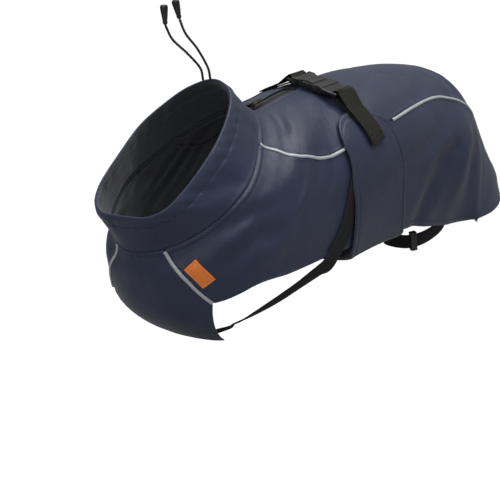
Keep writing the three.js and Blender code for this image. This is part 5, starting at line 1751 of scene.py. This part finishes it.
class RAINCOAT_OT_studio(Operator):
    """Set up the camera, lights and floor"""
    bl_idname = "raincoat.studio"
    bl_label = "Studio"

    def execute(self, context):
        build_studio()
        return {"FINISHED"}


class RAINCOAT_OT_drawstrings(Operator):
    """Make both drawstrings with their moulded ends"""
    bl_idname = "raincoat.drawstrings"
    bl_label = "Drawstrings"

    def execute(self, context):
        build_drawstrings()
        return {"FINISHED"}


class RAINCOAT_OT_back_panel(Operator):
    """Make the back panel with its topstitching"""
    bl_idname = "raincoat.back_panel"
    bl_label = "Back panel"

    def execute(self, context):
        build_back_panel()
        return {"FINISHED"}


class RAINCOAT_OT_side_panels(Operator):
    """Make both side panels with their hems"""
    bl_idname = "raincoat.side_panels"
    bl_label = "Side panels"

    def execute(self, context):
        build_side_panels()
        return {"FINISHED"}


class RAINCOAT_OT_chest_panel(Operator):
    """Make the chest panel and its flap"""
    bl_idname = "raincoat.chest_panel"
    bl_label = "Chest panel"

    def execute(self, context):
        build_chest_panel()
        return {"FINISHED"}


class RAINCOAT_OT_collar(Operator):
    """Make the collar with its drawstring casing"""
    bl_idname = "raincoat.collar"
    bl_label = "Collar"

    def execute(self, context):
        build_collar()
        return {"FINISHED"}


class RAINCOAT_OT_belly_band(Operator):
    """Make the belly band"""
    bl_idname = "raincoat.belly_band"
    bl_label = "Belly band"

    def execute(self, context):
        build_belly_band()
        return {"FINISHED"}


class RAINCOAT_OT_trims(Operator):
    """Make the reflective piping and the leather label"""
    bl_idname = "raincoat.trims"
    bl_label = "Piping and label"

    def execute(self, context):
        build_piping()
        build_label()
        return {"FINISHED"}


class RAINCOAT_OT_zip(Operator):
    """Make the zip with its slider and pull tab"""
    bl_idname = "raincoat.zip"
    bl_label = "Zip"

    def execute(self, context):
        build_zip()
        build_zip_pull()
        return {"FINISHED"}


class RAINCOAT_OT_belt(Operator):
    """Make the belt webbing and its buckle"""
    bl_idname = "raincoat.belt"
    bl_label = "Belt and buckle"

    def execute(self, context):
        build_buckle()
        build_webbing()
        return {"FINISHED"}


class RAINCOAT_OT_elastics(Operator):
    """Make the elastic straps and their sliders"""
    bl_idname = "raincoat.elastics"
    bl_label = "Elastic straps"

    def execute(self, context):
        build_elastics()
        build_leg_sliders()
        return {"FINISHED"}


OPERATORS = (
    RAINCOAT_OT_finishes, RAINCOAT_OT_studio, RAINCOAT_OT_drawstrings, RAINCOAT_OT_back_panel,
    RAINCOAT_OT_side_panels, RAINCOAT_OT_chest_panel, RAINCOAT_OT_collar, RAINCOAT_OT_belly_band,
    RAINCOAT_OT_trims, RAINCOAT_OT_zip, RAINCOAT_OT_belt, RAINCOAT_OT_elastics,
)


class RAINCOAT_PT_sidebar(Panel):
    """Sizes, colours and steps of the raincoat"""
    bl_idname = "RAINCOAT_PT_sidebar"
    bl_label = "Dog raincoat"
    bl_space_type = "VIEW_3D"
    bl_region_type = "UI"
    bl_category = "Raincoat"

    def draw(self, context):
        column = self.layout.column()
        for name in ("coat_sizes", "coat_colours", "studio_look"):
            group = getattr(context.scene, name)
            for key in group.bl_rna.properties.keys():
                if key not in {"rna_type", "name"}:
                    column.prop(group, key)
        for operator in OPERATORS:
            column.operator(operator.bl_idname)


CLASSES = (CoatSizes, CoatColours, StudioLook) + OPERATORS + (RAINCOAT_PT_sidebar,)


def register():
    """Register the classes and hang their settings on the scene."""
    for item in CLASSES:
        bpy.utils.register_class(item)
    bpy.types.Scene.coat_sizes = PointerProperty(type=CoatSizes)
    bpy.types.Scene.coat_colours = PointerProperty(type=CoatColours)
    bpy.types.Scene.studio_look = PointerProperty(type=StudioLook)


def unregister():
    """Take the settings and classes away again."""
    del bpy.types.Scene.coat_sizes
    del bpy.types.Scene.coat_colours
    del bpy.types.Scene.studio_look
    for item in reversed(CLASSES):
        bpy.utils.unregister_class(item)


def main():
    """Make the coat piece by piece."""
    register()
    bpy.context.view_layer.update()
    for operator in OPERATORS:
        group, name = operator.bl_idname.split(".")
        getattr(getattr(bpy.ops, group), name)()


if __name__ == "__main__":
    main()
